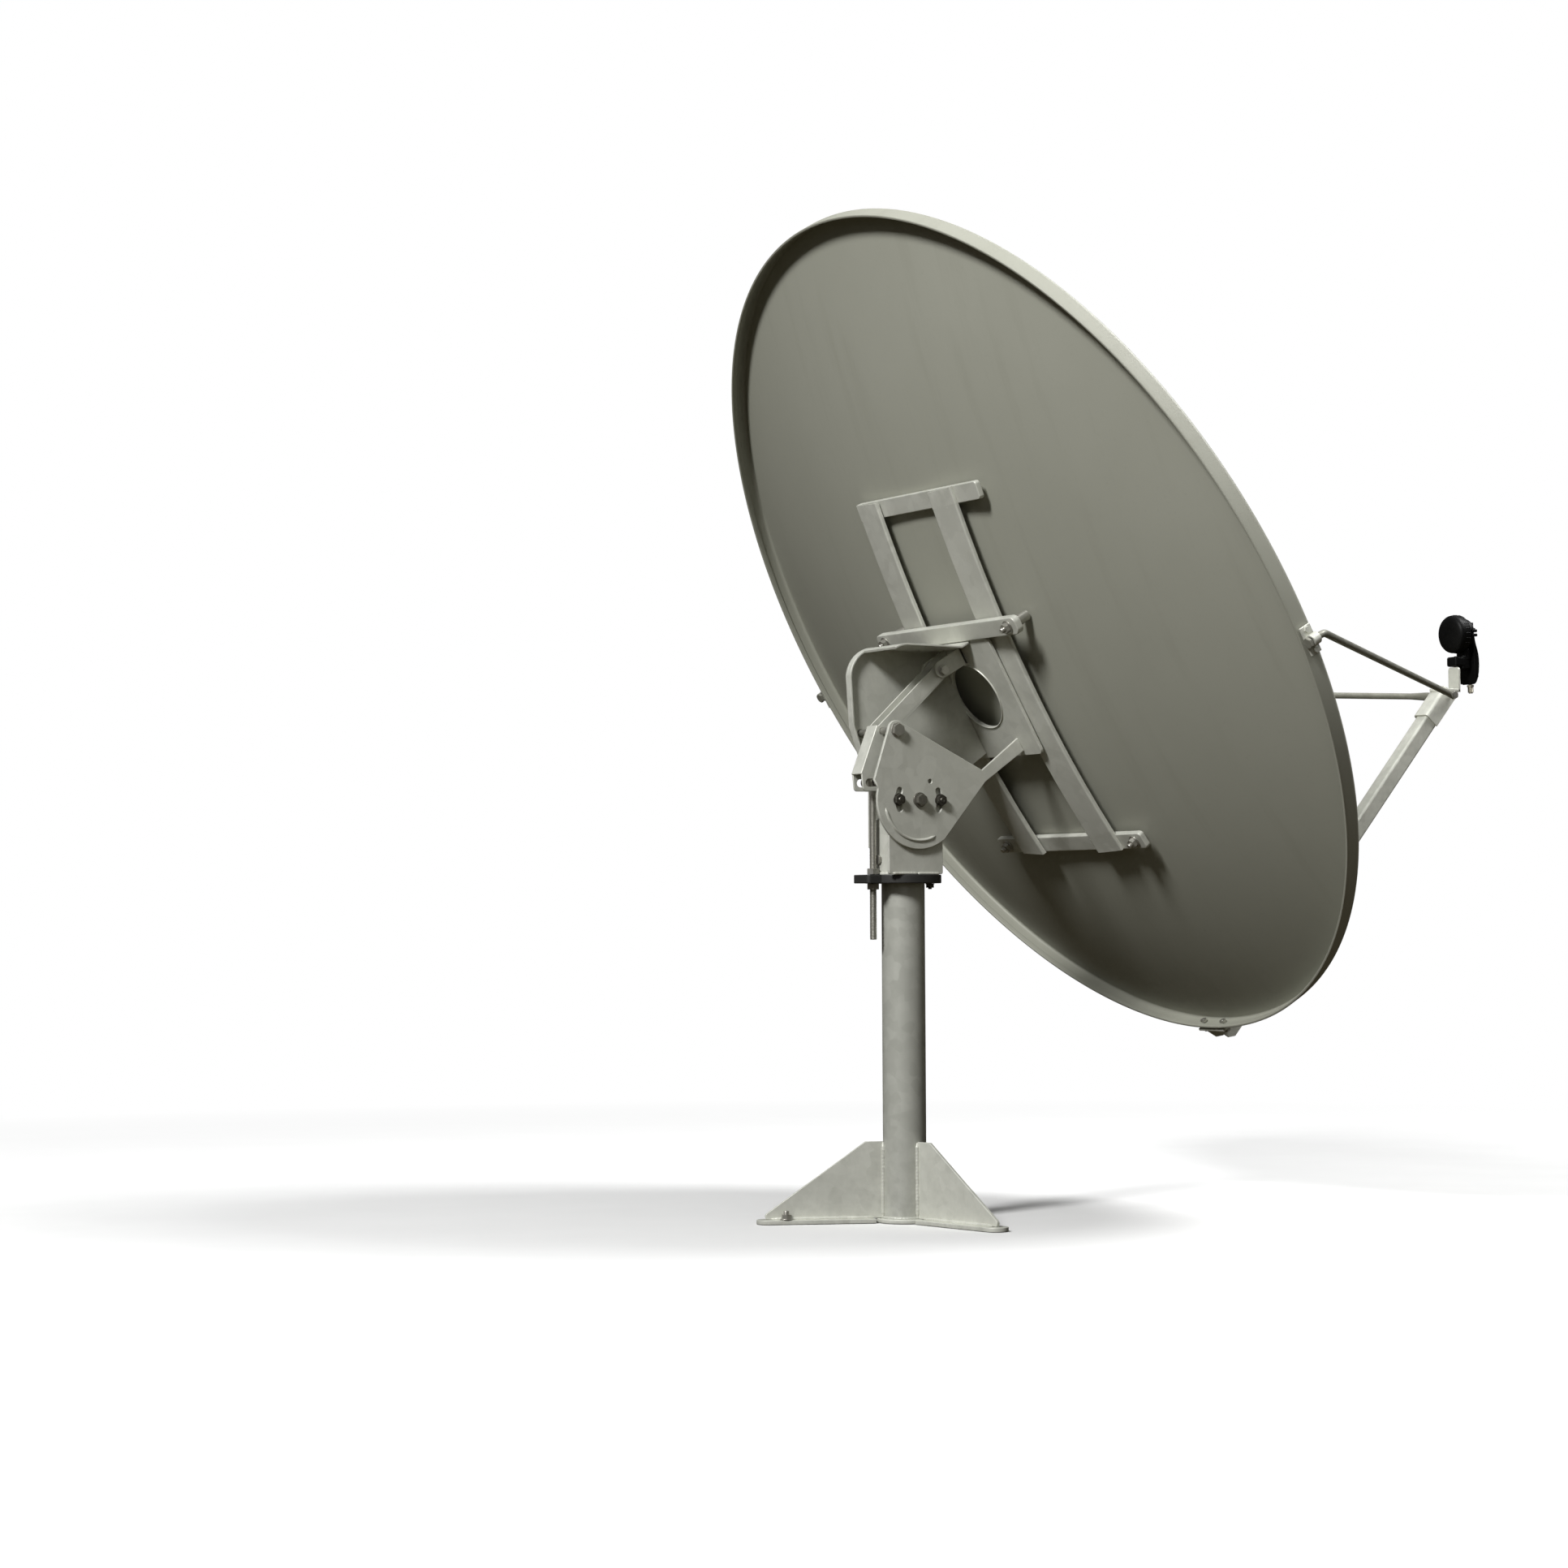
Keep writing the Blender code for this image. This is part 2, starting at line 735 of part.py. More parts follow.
def build_hub(elevation):
    """The plate across the rails, with its round hole."""
    half_x, low, high = 0.090, -0.136, BAR_U["mid"] - BAR_HEIGHT / 2 - 0.0006
    outline = [(-half_x, low), (half_x, low), (half_x, high), (-half_x, high)]
    middle = DISH @ Matrix.Translation((0, 0, -HUB_PLATE_BACK - HUB_PLATE_THICKNESS / 2))
    hole = circle((0, -0.038), HUB_HOLE_RADIUS, 36)
    plate("hub_plate", outline, HUB_PLATE_THICKNESS, elevation, middle, galvanised, [hole])


def build_strut(elevation):
    """A channel from the clevis on the hub down to the slotted fork over the screw's pin."""
    cheek_x, cheek_thickness = 0.0118, 0.003
    top = Vector((0, *from_dish(0.176, 0.026)))
    bend = CROSS_BOLT
    slot_z = PIVOT.z + 0.0242
    slot_middle = PIVOT.y + 0.0479
    direction = (bend - top).normalized()
    across = Vector((0, -direction.z, direction.y))
    half = 0.0115
    upper_left = top - across * half
    upper_right = top + across * half
    outline = [
        (upper_right.y - direction.y * 0.010, upper_right.z - direction.z * 0.010),
        (upper_left.y - direction.y * 0.010, upper_left.z - direction.z * 0.010),
        ((bend - across * half).y, (bend - across * half).z - 0.004),
        (slot_middle - 0.0205, slot_z + 0.012),
        (slot_middle - 0.0205, slot_z - 0.0115),
        (slot_middle + 0.0205, slot_z - 0.0115),
        (slot_middle + 0.0225, slot_z + 0.012),
        ((bend + across * half).y, (bend + across * half).z - 0.002),
    ]
    outline.reverse()
    holes = [
        slot((slot_middle - 0.0105, slot_z), (slot_middle + 0.0105, slot_z), 0.0056),
        circle((bend.y, bend.z), 0.0054, 14),
        circle((top.y, top.z), 0.0044, 12),
    ]
    frame = upright(cheek_x)
    obj = plate("strut", outline, cheek_thickness, elevation, frame, galvanised, holes)
    other = plate("strut_other", outline, cheek_thickness, None, upright(-cheek_x), galvanised, holes)
    parts.objects.unlink(other)
    helpers.objects.link(other)
    combine(obj, other, "UNION")
    length = (bend - top).length
    web_frame = along(top, bend)
    web = block(
        "strut_web",
        (2 * cheek_x + 0.002, 0.003, length - 0.022),
        (0, half - 0.0016, length / 2 - 0.009),
        None,
        web_frame,
        collection=helpers,
    )
    combine(obj, web, "UNION")
    bend_rear = (bend + across * half).yz
    fork_rear = Vector((slot_middle + 0.0225, slot_z + 0.012))
    run = fork_rear - bend_rear
    back = block(
        "strut_back",
        (2 * cheek_x + 0.002, 0.003, run.length),
        (0, 0, run.length / 2 + 0.0005),
        None,
        along(Vector((0, *bend_rear)), Vector((0, *fork_rear))),
        collection=helpers,
    )
    combine(obj, back, "UNION")
    build_clevis(elevation, top)


def build_clevis(elevation, top):
    """Two ears on a foot plate, bolted through the strut's upper end."""
    foot_back = HUB_PLATE_BACK + HUB_PLATE_THICKNESS + GAP
    foot = 0.005
    place = DISH.inverted() @ top
    ear_x, ear_thickness = 0.0166, 0.004
    base = block(
        "strut_clevis",
        (2 * ear_x + ear_thickness, 0.028, foot),
        (0, place.y + 0.002, -foot_back - foot / 2),
        elevation,
        DISH,
    )
    depth = -place.z + 0.012 - foot_back
    for index, sign in enumerate((-1, 1)):
        ear = block(
            f"clevis_ear_{index}",
            (ear_thickness, 0.026, depth),
            (sign * ear_x, place.y + 0.002, -foot_back - depth / 2 - 0.0005),
            None,
            DISH,
            collection=helpers,
        )
        combine(base, ear, "UNION")
    hole = rounds(
        "clevis_bore", [(0.0044, -0.03, 0.03, 12)], None, side_axis(top), collection=helpers
    )
    combine(base, hole, "DIFFERENCE")
    finish(base, galvanised)
    outer = ear_x + ear_thickness / 2 + GAP
    rounds(
        "strut_top_bolt",
        [
            (0.0040, -outer - 0.004, outer + 0.008, 12),
            (0.0072, -outer - 0.0052, -outer, 6),
            (0.0072, outer, outer + 0.0060, 6),
        ],
        elevation,
        side_axis(top),
        zinc,
    )


def rail_section(behind):
    """Across a rail: down its leg on the left, over its face and round the stiffening lip."""
    low, high = behind, behind + RAIL_DEPTH - RAIL_SHEET / 2
    half = RAIL_WIDTH / 2 - RAIL_SHEET / 2
    return [(half, low), (half, high), (-half, high), (-half, high - RAIL_LIP)]


def build_frame(elevation):
    stations = 13
    low, high = BAR_U["bottom"] - 0.010, BAR_U["top"] + 0.010
    first, last = eta_at(low, RAIL_X), eta_at(high, RAIL_X)
    for side, sign in (("left", 1), ("right", -1)):
        rows = []
        for index in range(stations):
            eta = first + (last - first) * index / (stations - 1)
            section = rail_section(SHEET + 0.0012)
            rows.append([dish_point(sign * RAIL_X + x, eta, behind) for x, behind in section])
        rail = sheet_strip(f"rail_{side}", rows, RAIL_SHEET, elevation, DISH)
        for level in ("top", "bottom"):
            depth = BAR_DEPTH[level] + 2 * GAP
            notch = block(
                f"rail_{side}_notch_{level}",
                (RAIL_WIDTH + 0.02, BAR_HEIGHT + 3 * GAP, depth + 0.008),
                (sign * RAIL_X, 0, 0.004),
                None,
                bar_place(level),
                collection=helpers,
            )
            combine(rail, notch, "DIFFERENCE")
        finish(rail, galvanised)
        rail.data.set_sharp_from_angle(angle=math.radians(35))
    for level in BAR_U:
        build_crossbar(level, elevation)


def rail_back(u):
    """How far behind the rim's plane a rail's outer face lies at height u."""
    inner = RAIL_X - RAIL_WIDTH / 2
    depth = SHEET + 0.0012 + RAIL_DEPTH
    return -min(dish_point(x, eta_at(u, x), depth).z for x in (inner, RAIL_X))


def bar_place(level):
    """The middle bar lies across the rails' faces; the others run under them, along the bowl."""
    u = BAR_U[level]
    if level == "mid":
        face = max(rail_back(u + step * BAR_HEIGHT / 2) for step in (-1.4, 0, 1.4))
        return DISH @ Matrix.Translation((0, u, -face - BAR_DEPTH[level] / 2 - GAP))
    half = BAR_HEIGHT / 2
    low, high = (dish_point(0, eta_at(u + step)).z for step in (-half, half))
    lean = math.atan2(high - low, BAR_HEIGHT)
    behind = (SHEET + BAR_OFF_DISH + BAR_DEPTH[level] / 2) / math.cos(lean)
    middle = Matrix.Translation((0, u, (low + high) / 2 - behind))
    return DISH @ middle @ Matrix.Rotation(lean, 4, "X")


def build_crossbar(level, elevation):
    """A bar across both rails. The middle and bottom bars carry the bolts through the dish."""
    place = bar_place(level)
    left, right = BAR_LEFT[level], -BAR_HALF_LENGTH
    size = (left - right, BAR_HEIGHT, BAR_DEPTH[level])
    bar = block(f"crossbar_{level}", size, ((left + right) / 2, 0, 0), elevation, place)
    if level != "top":
        for index, sign in enumerate((1, -1)):
            drill = rounds(
                f"crossbar_{level}_drill_{index}",
                [(0.0046, -0.05, 0.05, 12)],
                None,
                place @ Matrix.Translation((sign * BOLT_X, 0, 0)),
                collection=helpers,
            )
            combine(bar, drill, "DIFFERENCE")
    finish(bar, galvanised)
    if level == "top":
        return
    for side, sign in (("left", 1), ("right", -1)):
        dish_bolt(f"dish_bolt_{level}_{side}", level, sign * BOLT_X, elevation)


DISH_BOLT_PLACES = []


def dish_bolt(name, level, x, elevation):
    """A carriage bolt: domed head in the bowl, a spacer under the bar and a nut on top of it."""
    place = bar_place(level) @ Matrix.Translation((x, 0, 0))
    surface = (place.inverted() @ DISH @ dish_point(x, eta_at(BAR_U[level], x))).z
    DISH_BOLT_PLACES.append(place @ Matrix.Translation((0, 0, surface)))
    half = BAR_DEPTH[level] / 2
    tilt_room = 0.0028
    rounds(
        name,
        [
            (0.0042, -half - 0.013, surface + tilt_room + 0.001, 12),
            (0.0095, surface + tilt_room, surface + tilt_room + 0.003, 16),
            (0.0080, half + GAP, surface - SHEET - tilt_room, 16),
            (0.0075, -half - 0.0075, -half - GAP, 6),
        ],
        elevation,
        place,
        zinc,
    )


def build_reflector(elevation):
    """A radial line of points turned into a disc, then moved onto the paraboloid and its rim."""
    steps = 72
    rings = [APERTURE_RADIUS * fraction for fraction in (0, 0.16, 0.32, 0.48, 0.64, 0.78, 0.9, 1)]
    roll = [(0.0018, 0.0004), (0.0040, 0.0022), (FLANGE_OUT, 0.0058), (FLANGE_OUT, FLANGE_DEPTH)]
    mesh = bpy.data.meshes.new("reflector_line")
    radii = rings + [APERTURE_RADIUS + 0.01 * (index + 1) for index in range(len(roll))]
    edges = [(index, index + 1) for index in range(len(radii) - 1)]
    mesh.from_pydata([(radius, 0, 0) for radius in radii], edges, [])
    line = bpy.data.objects.new("reflector_line", mesh)
    helpers.objects.link(line)
    screw = line.modifiers.new("turn", "SCREW")
    screw.steps = screw.render_steps = steps
    screw.use_merge_vertices = True
    screw.merge_threshold = 0.00001
    graph = bpy.context.evaluated_depsgraph_get()
    disc = bpy.data.meshes.new_from_object(line.evaluated_get(graph))
    bpy.data.objects.remove(line)
    bm = bmesh.new()
    bm.from_mesh(disc)
    for vertex in bm.verts:
        radius = vertex.co.xy.length
        angle = math.atan2(vertex.co.y, vertex.co.x)
        level = round((radius - APERTURE_RADIUS) / 0.01)
        at = min(radius, APERTURE_RADIUS) if level < 1 else APERTURE_RADIUS
        place = dish_point(at * math.cos(angle), APERTURE_OFFSET + at * math.sin(angle))
        if level >= 1:
            out, back = roll[level - 1]
            outward = Vector((math.cos(angle), math.sin(angle) * math.cos(TAU), 0)).normalized()
            place += outward * out - Vector((0, 0, back))
        vertex.co = place
    bmesh.ops.remove_doubles(bm, verts=bm.verts, dist=0.00001)
    bmesh.ops.recalc_face_normals(bm, faces=bm.faces)
    middle_face = min(bm.faces, key=lambda face: face.calc_center_median().length)
    if middle_face.normal.z < 0:
        bmesh.ops.reverse_faces(bm, faces=bm.faces)
    bm.to_mesh(disc)
    bm.free()
    disc.name = "reflector"
    obj = bpy.data.objects.new("reflector", disc)
    parts.objects.link(obj)
    hang(obj, elevation, DISH)
    solidify = obj.modifiers.new("sheet", "SOLIDIFY")
    solidify.thickness = SHEET
    solidify.offset = -1
    for index, place in enumerate(DISH_BOLT_PLACES):
        drill = rounds(
            f"reflector_drill_{index}",
            [(0.0048, -0.02, 0.02, 12)],
            None,
            place,
            collection=helpers,
        )
        combine(obj, drill, "DIFFERENCE")
    finish(obj, paint, smooth=50)


# ---------------------------------------------------------------- feed
def square_ring(side, wall):
    half, inner = side / 2, side / 2 - wall
    outline = [(-half, -half), (half, -half), (half, half), (-half, half)]
    return outline, [(-inner, -inner), (inner, -inner), (inner, inner), (-inner, inner)]


def arm_ear_outline():
    """The bracket's ear in the dish frame: under the rim's flange, then along the arm's side."""
    low = RIM_HEIGHT_HALF + FLANGE_OUT + SHEET
    behind_and_below = [
        (0.021, low + 0.0010),
        (0.021, low + 0.0060),
        (0.0115, low + 0.0215),
        (0.0, low + 0.0262),
        (-0.0544, low + 0.0080),
        (-0.0444, low - 0.0206),
        (-0.0110, low - 0.0100),
        (-0.0050, low + 0.0010),
    ]
    return [from_dish(behind, -below) for behind, below in behind_and_below]


def build_arm(elevation):
    """The square arm from under the rim to the feed, its foot bracket and the two foot bolts."""
    direction = (FEED_TIP - ARM_FOOT).normalized()
    start = ARM_FOOT + direction * 0.018
    end = FEED_TIP - direction * 0.010
    outline, hole = square_ring(ARM_SIDE, ARM_WALL)
    length = (end - start).length
    middle = along(start, end) @ Matrix.Translation((0, 0, length / 2))
    plate("feed_arm", outline, length, elevation, middle, galvanised, [hole])
    # The bracket is a flat foot under the rim's flange with an ear each side of the arm.
    rim_low = Vector((0, -RIM_HEIGHT_HALF - FLANGE_OUT - SHEET, 0))
    foot = 0.004
    bracket = block(
        "feed_arm_bracket",
        (0.060, foot, 0.030),
        (0, rim_low.y - foot / 2 - GAP, -0.009),
        elevation,
        DISH,
    )
    ear_x = ARM_SIDE / 2 + 0.0004 + 0.0015
    arm_frame = along(ARM_FOOT, end)
    for index, sign in enumerate((-1, 1)):
        frame = upright(sign * ear_x)
        ear = plate(f"arm_ear_{index}", arm_ear_outline(), 0.003, None, frame, galvanised)
        parts.objects.unlink(ear)
        helpers.objects.link(ear)
        combine(bracket, ear, "UNION")
    places = []
    for index, distance in enumerate((0.031, 0.053)):
        centre = arm_frame @ Vector((0, 0, distance))
        places.append(centre)
        bore = rounds(
            f"arm_bolt_bore_{index}",
            [(0.0040, -0.04, 0.04, 12)],
            None,
            side_axis(centre),
            collection=helpers,
        )
        combine(bracket, bore, "DIFFERENCE")
        combine(bpy.data.objects["feed_arm"], bore, "DIFFERENCE")
    finish(bracket, galvanised)
    outer = ear_x + 0.0015 + GAP
    for name, centre in zip(("lower", "upper"), places):
        rounds(
            f"arm_bolt_{name}",
            [
                (0.0036, -outer - 0.004, outer + 0.007, 12),
                (0.0064, -outer - 0.0048, -outer, 6),
                (0.0064, outer, outer + 0.0056, 6),
            ],
            elevation,
            side_axis(centre),
            zinc,
        )


def rim_point(u, sign, out=0.0, back=0.0):
    """A point beside the rim at height u, in world space."""
    across = APERTURE_RADIUS * math.sqrt(1 - (u / RIM_HEIGHT_HALF) ** 2)
    return DISH @ Vector((sign * (across + out), u, -back))


def build_stays(elevation):
    """Two rods from clips on the rim to the arm's tip."""
    tip_x = ARM_SIDE / 2 + 0.0085
    for side, sign in (("left", 1), ("right", -1)):
        clip_back = 0.015
        clip_out = FLANGE_OUT + SHEET + 0.0004
        place = rim_point(STAY_U, sign, clip_out, clip_back)
        outward = Vector((sign, 0, 0))
        start = place + outward * 0.0105
        tip = FEED_TIP + Vector((sign * tip_x, 0, 0))
        ahead = DISH.to_3x3() @ Vector((0, 0, 1))
        bend = start + ahead * 0.019
        rod(f"stay_{side}", [start - ahead * 0.004, bend, tip], STAY_RADIUS, elevation, galvanised)
        clip_frame = DISH @ Matrix.Translation(DISH.inverted() @ place)
        clip = block(
            f"stay_clip_{side}",
            (0.0040, 0.040, 0.018),
            (sign * 0.0022, 0, 0.001),
            elevation,
            clip_frame,
        )
        collar = block(
            f"stay_clip_{side}_collar",
            (0.015, 0.015, 0.012),
            (sign * 0.0108, 0, 0.001),
            None,
            clip_frame,
            collection=helpers,
        )
        combine(clip, collar, "UNION")
        bore = rounds(
            f"stay_clip_{side}_bore",
            [(STAY_RADIUS + 0.0005, -0.05, 0.05, 16)],
            None,
            clip_frame @ Matrix.Translation((sign * 0.0105, 0, 0)),
            collection=helpers,
        )
        combine(clip, bore, "DIFFERENCE")
        finish(clip, galvanised)


def feed_frame():
    """At the neck's middle: Z towards the bowl's middle, X across."""
    direction = HORN_AIM - NECK_CENTRE
    return along(NECK_CENTRE, NECK_CENTRE + direction)


def build_feed_tip(elevation):
    """The saddle at the arm's tip, then the clamp's lower half on its post, and its upper half."""
    arm_frame = along(ARM_FOOT, FEED_TIP)
    tip = (FEED_TIP - ARM_FOOT).length
    wall = 0.003
    outer = ARM_SIDE / 2 + 0.0004 + wall
    saddle = block(
        "feed_tip_bracket",
        (2 * outer, wall, 0.060),
        (0, ARM_SIDE / 2 + 0.0004 + wall / 2, tip - 0.024),
        elevation,
        arm_frame,
    )
    for index, sign in enumerate((-1, 1)):
        cheek = block(
            f"feed_tip_cheek_{index}",
            (wall, ARM_SIDE + wall, 0.060),
            (sign * (outer - wall / 2), wall / 2, tip - 0.024),
            None,
            arm_frame,
            collection=helpers,
        )
        combine(saddle, cheek, "UNION")
    shelf = block(
        "feed_tip_shelf",
        (0.024, 0.042, 0.005),
        FEED_TIP + Vector((0, -0.004, 0.0085)),
        None,
        Matrix.Identity(4),
        collection=helpers,
    )
    tongue = block(
        "feed_tip_tongue",
        (0.024, 0.0040, 0.039),
        FEED_TIP + Vector((0, -0.0230, 0.0255)),
        None,
        Matrix.Identity(4),
        collection=helpers,
    )
    combine(saddle, shelf, "UNION")
    combine(saddle, tongue, "UNION")
    finish(saddle, galvanised)
    build_holder(elevation, feed_frame())


def build_holder(elevation, neck):
    """A ring in two halves round the neck, the lower one with a stub behind the tip's tongue."""
    bore, outer, width = 0.0183, 0.0235, 0.009
    face = 0.0010
    ear = 0.0295
    inner_angle = math.degrees(math.asin(face / bore))
    outer_angle = math.degrees(math.asin(0.0055 / outer))
    half = arc((0, 0), bore, 180 - inner_angle, inner_angle, 14)
    half += [(ear, face), (ear, 0.0055)]
    half += arc((0, 0), outer, outer_angle, 180 - outer_angle, 14)
    half += [(-ear, 0.0055), (-ear, face)]
    # In the neck's frame +Y points down, so the half with +y is the lower one.
    lower = plate("lnb_holder", half, width, elevation, neck, black)
    plate("lnb_holder_cap", half, width, elevation, neck @ Matrix.Rotation(math.pi, 4, "Z"), black)
    stem = block(
        "holder_stem",
        (0.020, 0.0345, 0.0085),
        (0, 0.0210 + 0.0345 / 2, 0),
        None,
        neck,
        collection=helpers,
    )
    foot = block(
        "holder_foot",
        (0.022, 0.0215, 0.0165),
        (0, 0.0335 + 0.0215 / 2, 0.0040),
        None,
        neck,
        collection=helpers,
    )
    hook = block(
        "holder_hook",
        (0.0226, 0.0210, 0.0150),
        FEED_TIP + Vector((0, -0.0275, 0.0535)),
        None,
        Matrix.Identity(4),
        collection=helpers,
    )
    combine(lower, stem, "UNION")
    combine(lower, foot, "UNION")
    combine(lower, hook, "UNION")


def build_lnb(skew):
    """Feed horn with its cover, neck, hollow housing and the connector."""
    neck = feed_frame()
    turned(
        "lnb_horn",
        [
            (0.0262, 0.0225),
            (0.0262, 0.0065),
            (0.0175, 0.0055),
            (0.0175, -0.0052),
            (0.0110, -0.0052),
            (0.0110, 0.0060),
            (0.0235, 0.0225),
        ],
        skew,
        neck,
        black,
        steps=36,
    )
    turned(
        "lnb_cap",
        [
            (0, 0.0285),
            (0.0200, 0.0280),
            (0.0265, 0.0262),
            (0.0295, 0.0225),
            (0.0295, 0.0075),
            (0.0268, 0.0075),
            (0.0268, 0.0232),
            (0, 0.0236),
        ],
        skew,
        neck,
        black,
        steps=36,
    )
    # The housing's side profile, as (back, down) from the neck's middle, extruded across.
    profile = [
        (-0.0056, -0.0170),
        (-0.0085, -0.0180),
        (-0.0110, 0.0120),
        (-0.0175, 0.0300),
        (-0.0185, 0.0440),
        (-0.0160, 0.0640),
        (-0.0100, 0.0770),
        (-0.0056, 0.0785),
    ]
    across = neck @ columns((0, 0, 1), (0, 1, 0), (-1, 0, 0), (0, 0, 0))
    housing = plate("lnb_housing", profile, 0.034, skew, across, black)
    wall = 0.002
    pocket = block(
        "lnb_pocket",
        (0.034 - 2 * wall, 0.050, 0.0075),
        (0, 0.042, -0.0115),
        None,
        neck,
        collection=helpers,
    )
    low = (0, 0.0778, -0.0110)
    down = neck @ columns((1, 0, 0), (0, 0, -1), (0, 1, 0), low)
    drain = rounds("lnb_port", [(0.0036, -0.02, 0.01, 14)], None, down, collection=helpers)
    combine(housing, pocket, "DIFFERENCE")
    combine(housing, drain, "DIFFERENCE")
    rounds(
        "lnb_f_connector",
        [(0.0032, -0.009, 0.014, 14), (0.0046, 0.0012, 0.013, 16), (0.0056, 0.0012, 0.0045, 6)],
        skew,
        down,
        brass,
    )


# ---------------------------------------------------------------- assembly
azimuth_axis = axis_empty("azimuth_axis", (0, 0, POLE_TOP))
jack_axis = axis_empty("jack_axis", (0, ROD_Y, PIN_Z), azimuth_axis)
elevation_axis = axis_empty("elevation_axis", PIVOT, azimuth_axis)
skew_axis = axis_empty("skew_axis", feed_frame().translation, elevation_axis)

build_base()
build_azimuth_head(azimuth_axis)
build_jack(jack_axis)
build_side_plates(elevation_axis)
build_hub(elevation_axis)
build_strut(elevation_axis)
build_frame(elevation_axis)
build_reflector(elevation_axis)
build_arm(elevation_axis)
build_stays(elevation_axis)
build_feed_tip(elevation_axis)
build_lnb(skew_axis)
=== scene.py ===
"""Looks for the offset satellite dish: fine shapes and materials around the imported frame."""
import json
import math

import bmesh
import bpy
from mathutils import Matrix, Vector, noise


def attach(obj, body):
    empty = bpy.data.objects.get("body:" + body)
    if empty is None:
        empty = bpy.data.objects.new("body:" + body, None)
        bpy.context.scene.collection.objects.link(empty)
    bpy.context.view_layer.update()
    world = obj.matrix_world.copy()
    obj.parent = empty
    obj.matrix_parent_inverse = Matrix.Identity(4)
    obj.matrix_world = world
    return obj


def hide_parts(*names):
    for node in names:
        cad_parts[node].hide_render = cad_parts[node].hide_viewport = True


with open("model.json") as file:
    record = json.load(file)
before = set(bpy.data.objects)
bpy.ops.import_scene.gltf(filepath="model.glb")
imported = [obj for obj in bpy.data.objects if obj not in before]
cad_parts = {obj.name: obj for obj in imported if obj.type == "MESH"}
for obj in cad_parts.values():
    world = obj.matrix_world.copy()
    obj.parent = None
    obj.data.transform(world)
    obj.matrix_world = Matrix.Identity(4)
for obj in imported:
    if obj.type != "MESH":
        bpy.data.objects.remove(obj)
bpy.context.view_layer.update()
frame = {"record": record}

# ---------------------------------------------------------------- dimensions, as in the CAD model
APERTURE_RADIUS = 0.594
FOCAL_LENGTH = 0.75
APERTURE_OFFSET = 0.66
SHEET = 0.002
FLANGE_OUT = 0.005
RIM_CENTRE = Vector((0, -0.222, 0.835))
RIM_TILT = math.radians(30.3)
TAU = math.atan(APERTURE_OFFSET / (2 * FOCAL_LENGTH))
RIM_HEIGHT_HALF = APERTURE_RADIUS / math.cos(TAU)

POLE_RADIUS = 0.03015
POLE_WALL = 0.0032
POLE_BOTTOM = 0.0063
POLE_TOP = 0.5535
FIN_ANGLES = {"rear": 67.6, "right": 187.6, "front": 307.6}
FIN_HEIGHT = 0.112
FIN_REACH = 0.208
FOOT_THICKNESS = 0.006
ANCHOR_PLACE = (FIN_REACH - 0.040, 0.0102)
CANISTER_RADIUS = 0.0385
CANISTER_BOTTOM = 0.4823
CANISTER_TOP = 0.560
FLANGE_BOTTOM = 0.470
SET_BOLT_Z = 0.503
EARTH_BOLT_Y = -0.0445
LEFT_REAR_Y = 0.026
HUB_BACK = 0.1283
HUB_THICKNESS = 0.005
HUB_HOLE = (0, -0.038)
HUB_HOLE_RADIUS = 0.050
CHEEK_X = 0.0418
CHEEK_THICKNESS = 0.0045
SIDE_X = 0.0474
SIDE_THICKNESS = 0.005
PIVOT = Vector((0, 0.004, 0.585))
QUADRANT_RADIUS = 0.068
SLOT_RADIUS = 0.034
SLOT_HALF_ANGLE = 22
CROSS_BOLT = Vector((0, 0.040, 0.681))
ROD_Y = 0.049
ROD_RADIUS = 0.005
ROD_BOTTOM = 0.392
PIN_Z = 0.610
RAIL_X = 0.094
RAIL_WIDTH = 0.056
RAIL_DEPTH = 0.018
RAIL_SHEET = 0.0025
RAIL_LIP = 0.0045
RAIL_OFF_DISH = 0.0012
BAR_HEIGHT = 0.026
BAR_DEPTH = {"top": 0.0085, "mid": 0.011, "bottom": 0.0085}
BAR_HALF_LENGTH = 0.178
BAR_LEFT = {"top": 0.131, "mid": BAR_HALF_LENGTH, "bottom": BAR_HALF_LENGTH}
BAR_U = {"top": 0.250, "mid": 0.062, "bottom": -0.296}
BAR_OFF_DISH = 0.0010
BOLT_X = 0.158
ARM_SIDE = 0.025
ARM_FOOT = Vector((0, -0.553, 0.254))
FEED_TIP = Vector((0, -0.986, 0.760))
STAY_RADIUS = 0.0048
STAY_U = -0.06
NECK_CENTRE = Vector((0, -1.0265, 0.857))
HORN_AIM = Vector((0, -0.130, 0.812))
GAP = 0.0004
SIDES = (("left", 1), ("right", -1))


def axial(x, eta):
    """The paraboloid's height along its own axis."""
    return (x * x + eta * eta) / (4 * FOCAL_LENGTH)


RIM_AXIAL = (
    axial(0, APERTURE_OFFSET + APERTURE_RADIUS) + axial(0, APERTURE_OFFSET - APERTURE_RADIUS)
) / 2


def columns(x, y, z, origin):
    matrix = Matrix.Identity(4)
    for index, column in enumerate((x, y, z, origin)):
        for row in range(3):
            matrix[row][index] = column[row]
    return matrix


DISH = columns(
    (1, 0, 0),
    (0, math.sin(RIM_TILT), math.cos(RIM_TILT)),
    (0, -math.cos(RIM_TILT), math.sin(RIM_TILT)),
    RIM_CENTRE,
)


def along(start, end):
    """A frame at start whose Z points to end and whose X is nearest to the world's."""
    z = (end - start).normalized()
    x = (Vector((1, 0, 0)) - z * z.x).normalized()
    return columns(x, z.cross(x), z, start)


def side_axis(centre, sign=1):
    """At centre, with Z along world +X, or along -X if sign is negative."""
    place = columns((0, 1, 0), (0, 0, 1), (1, 0, 0), centre)
    return place if sign > 0 else place @ Matrix.Rotation(math.pi, 4, "X")


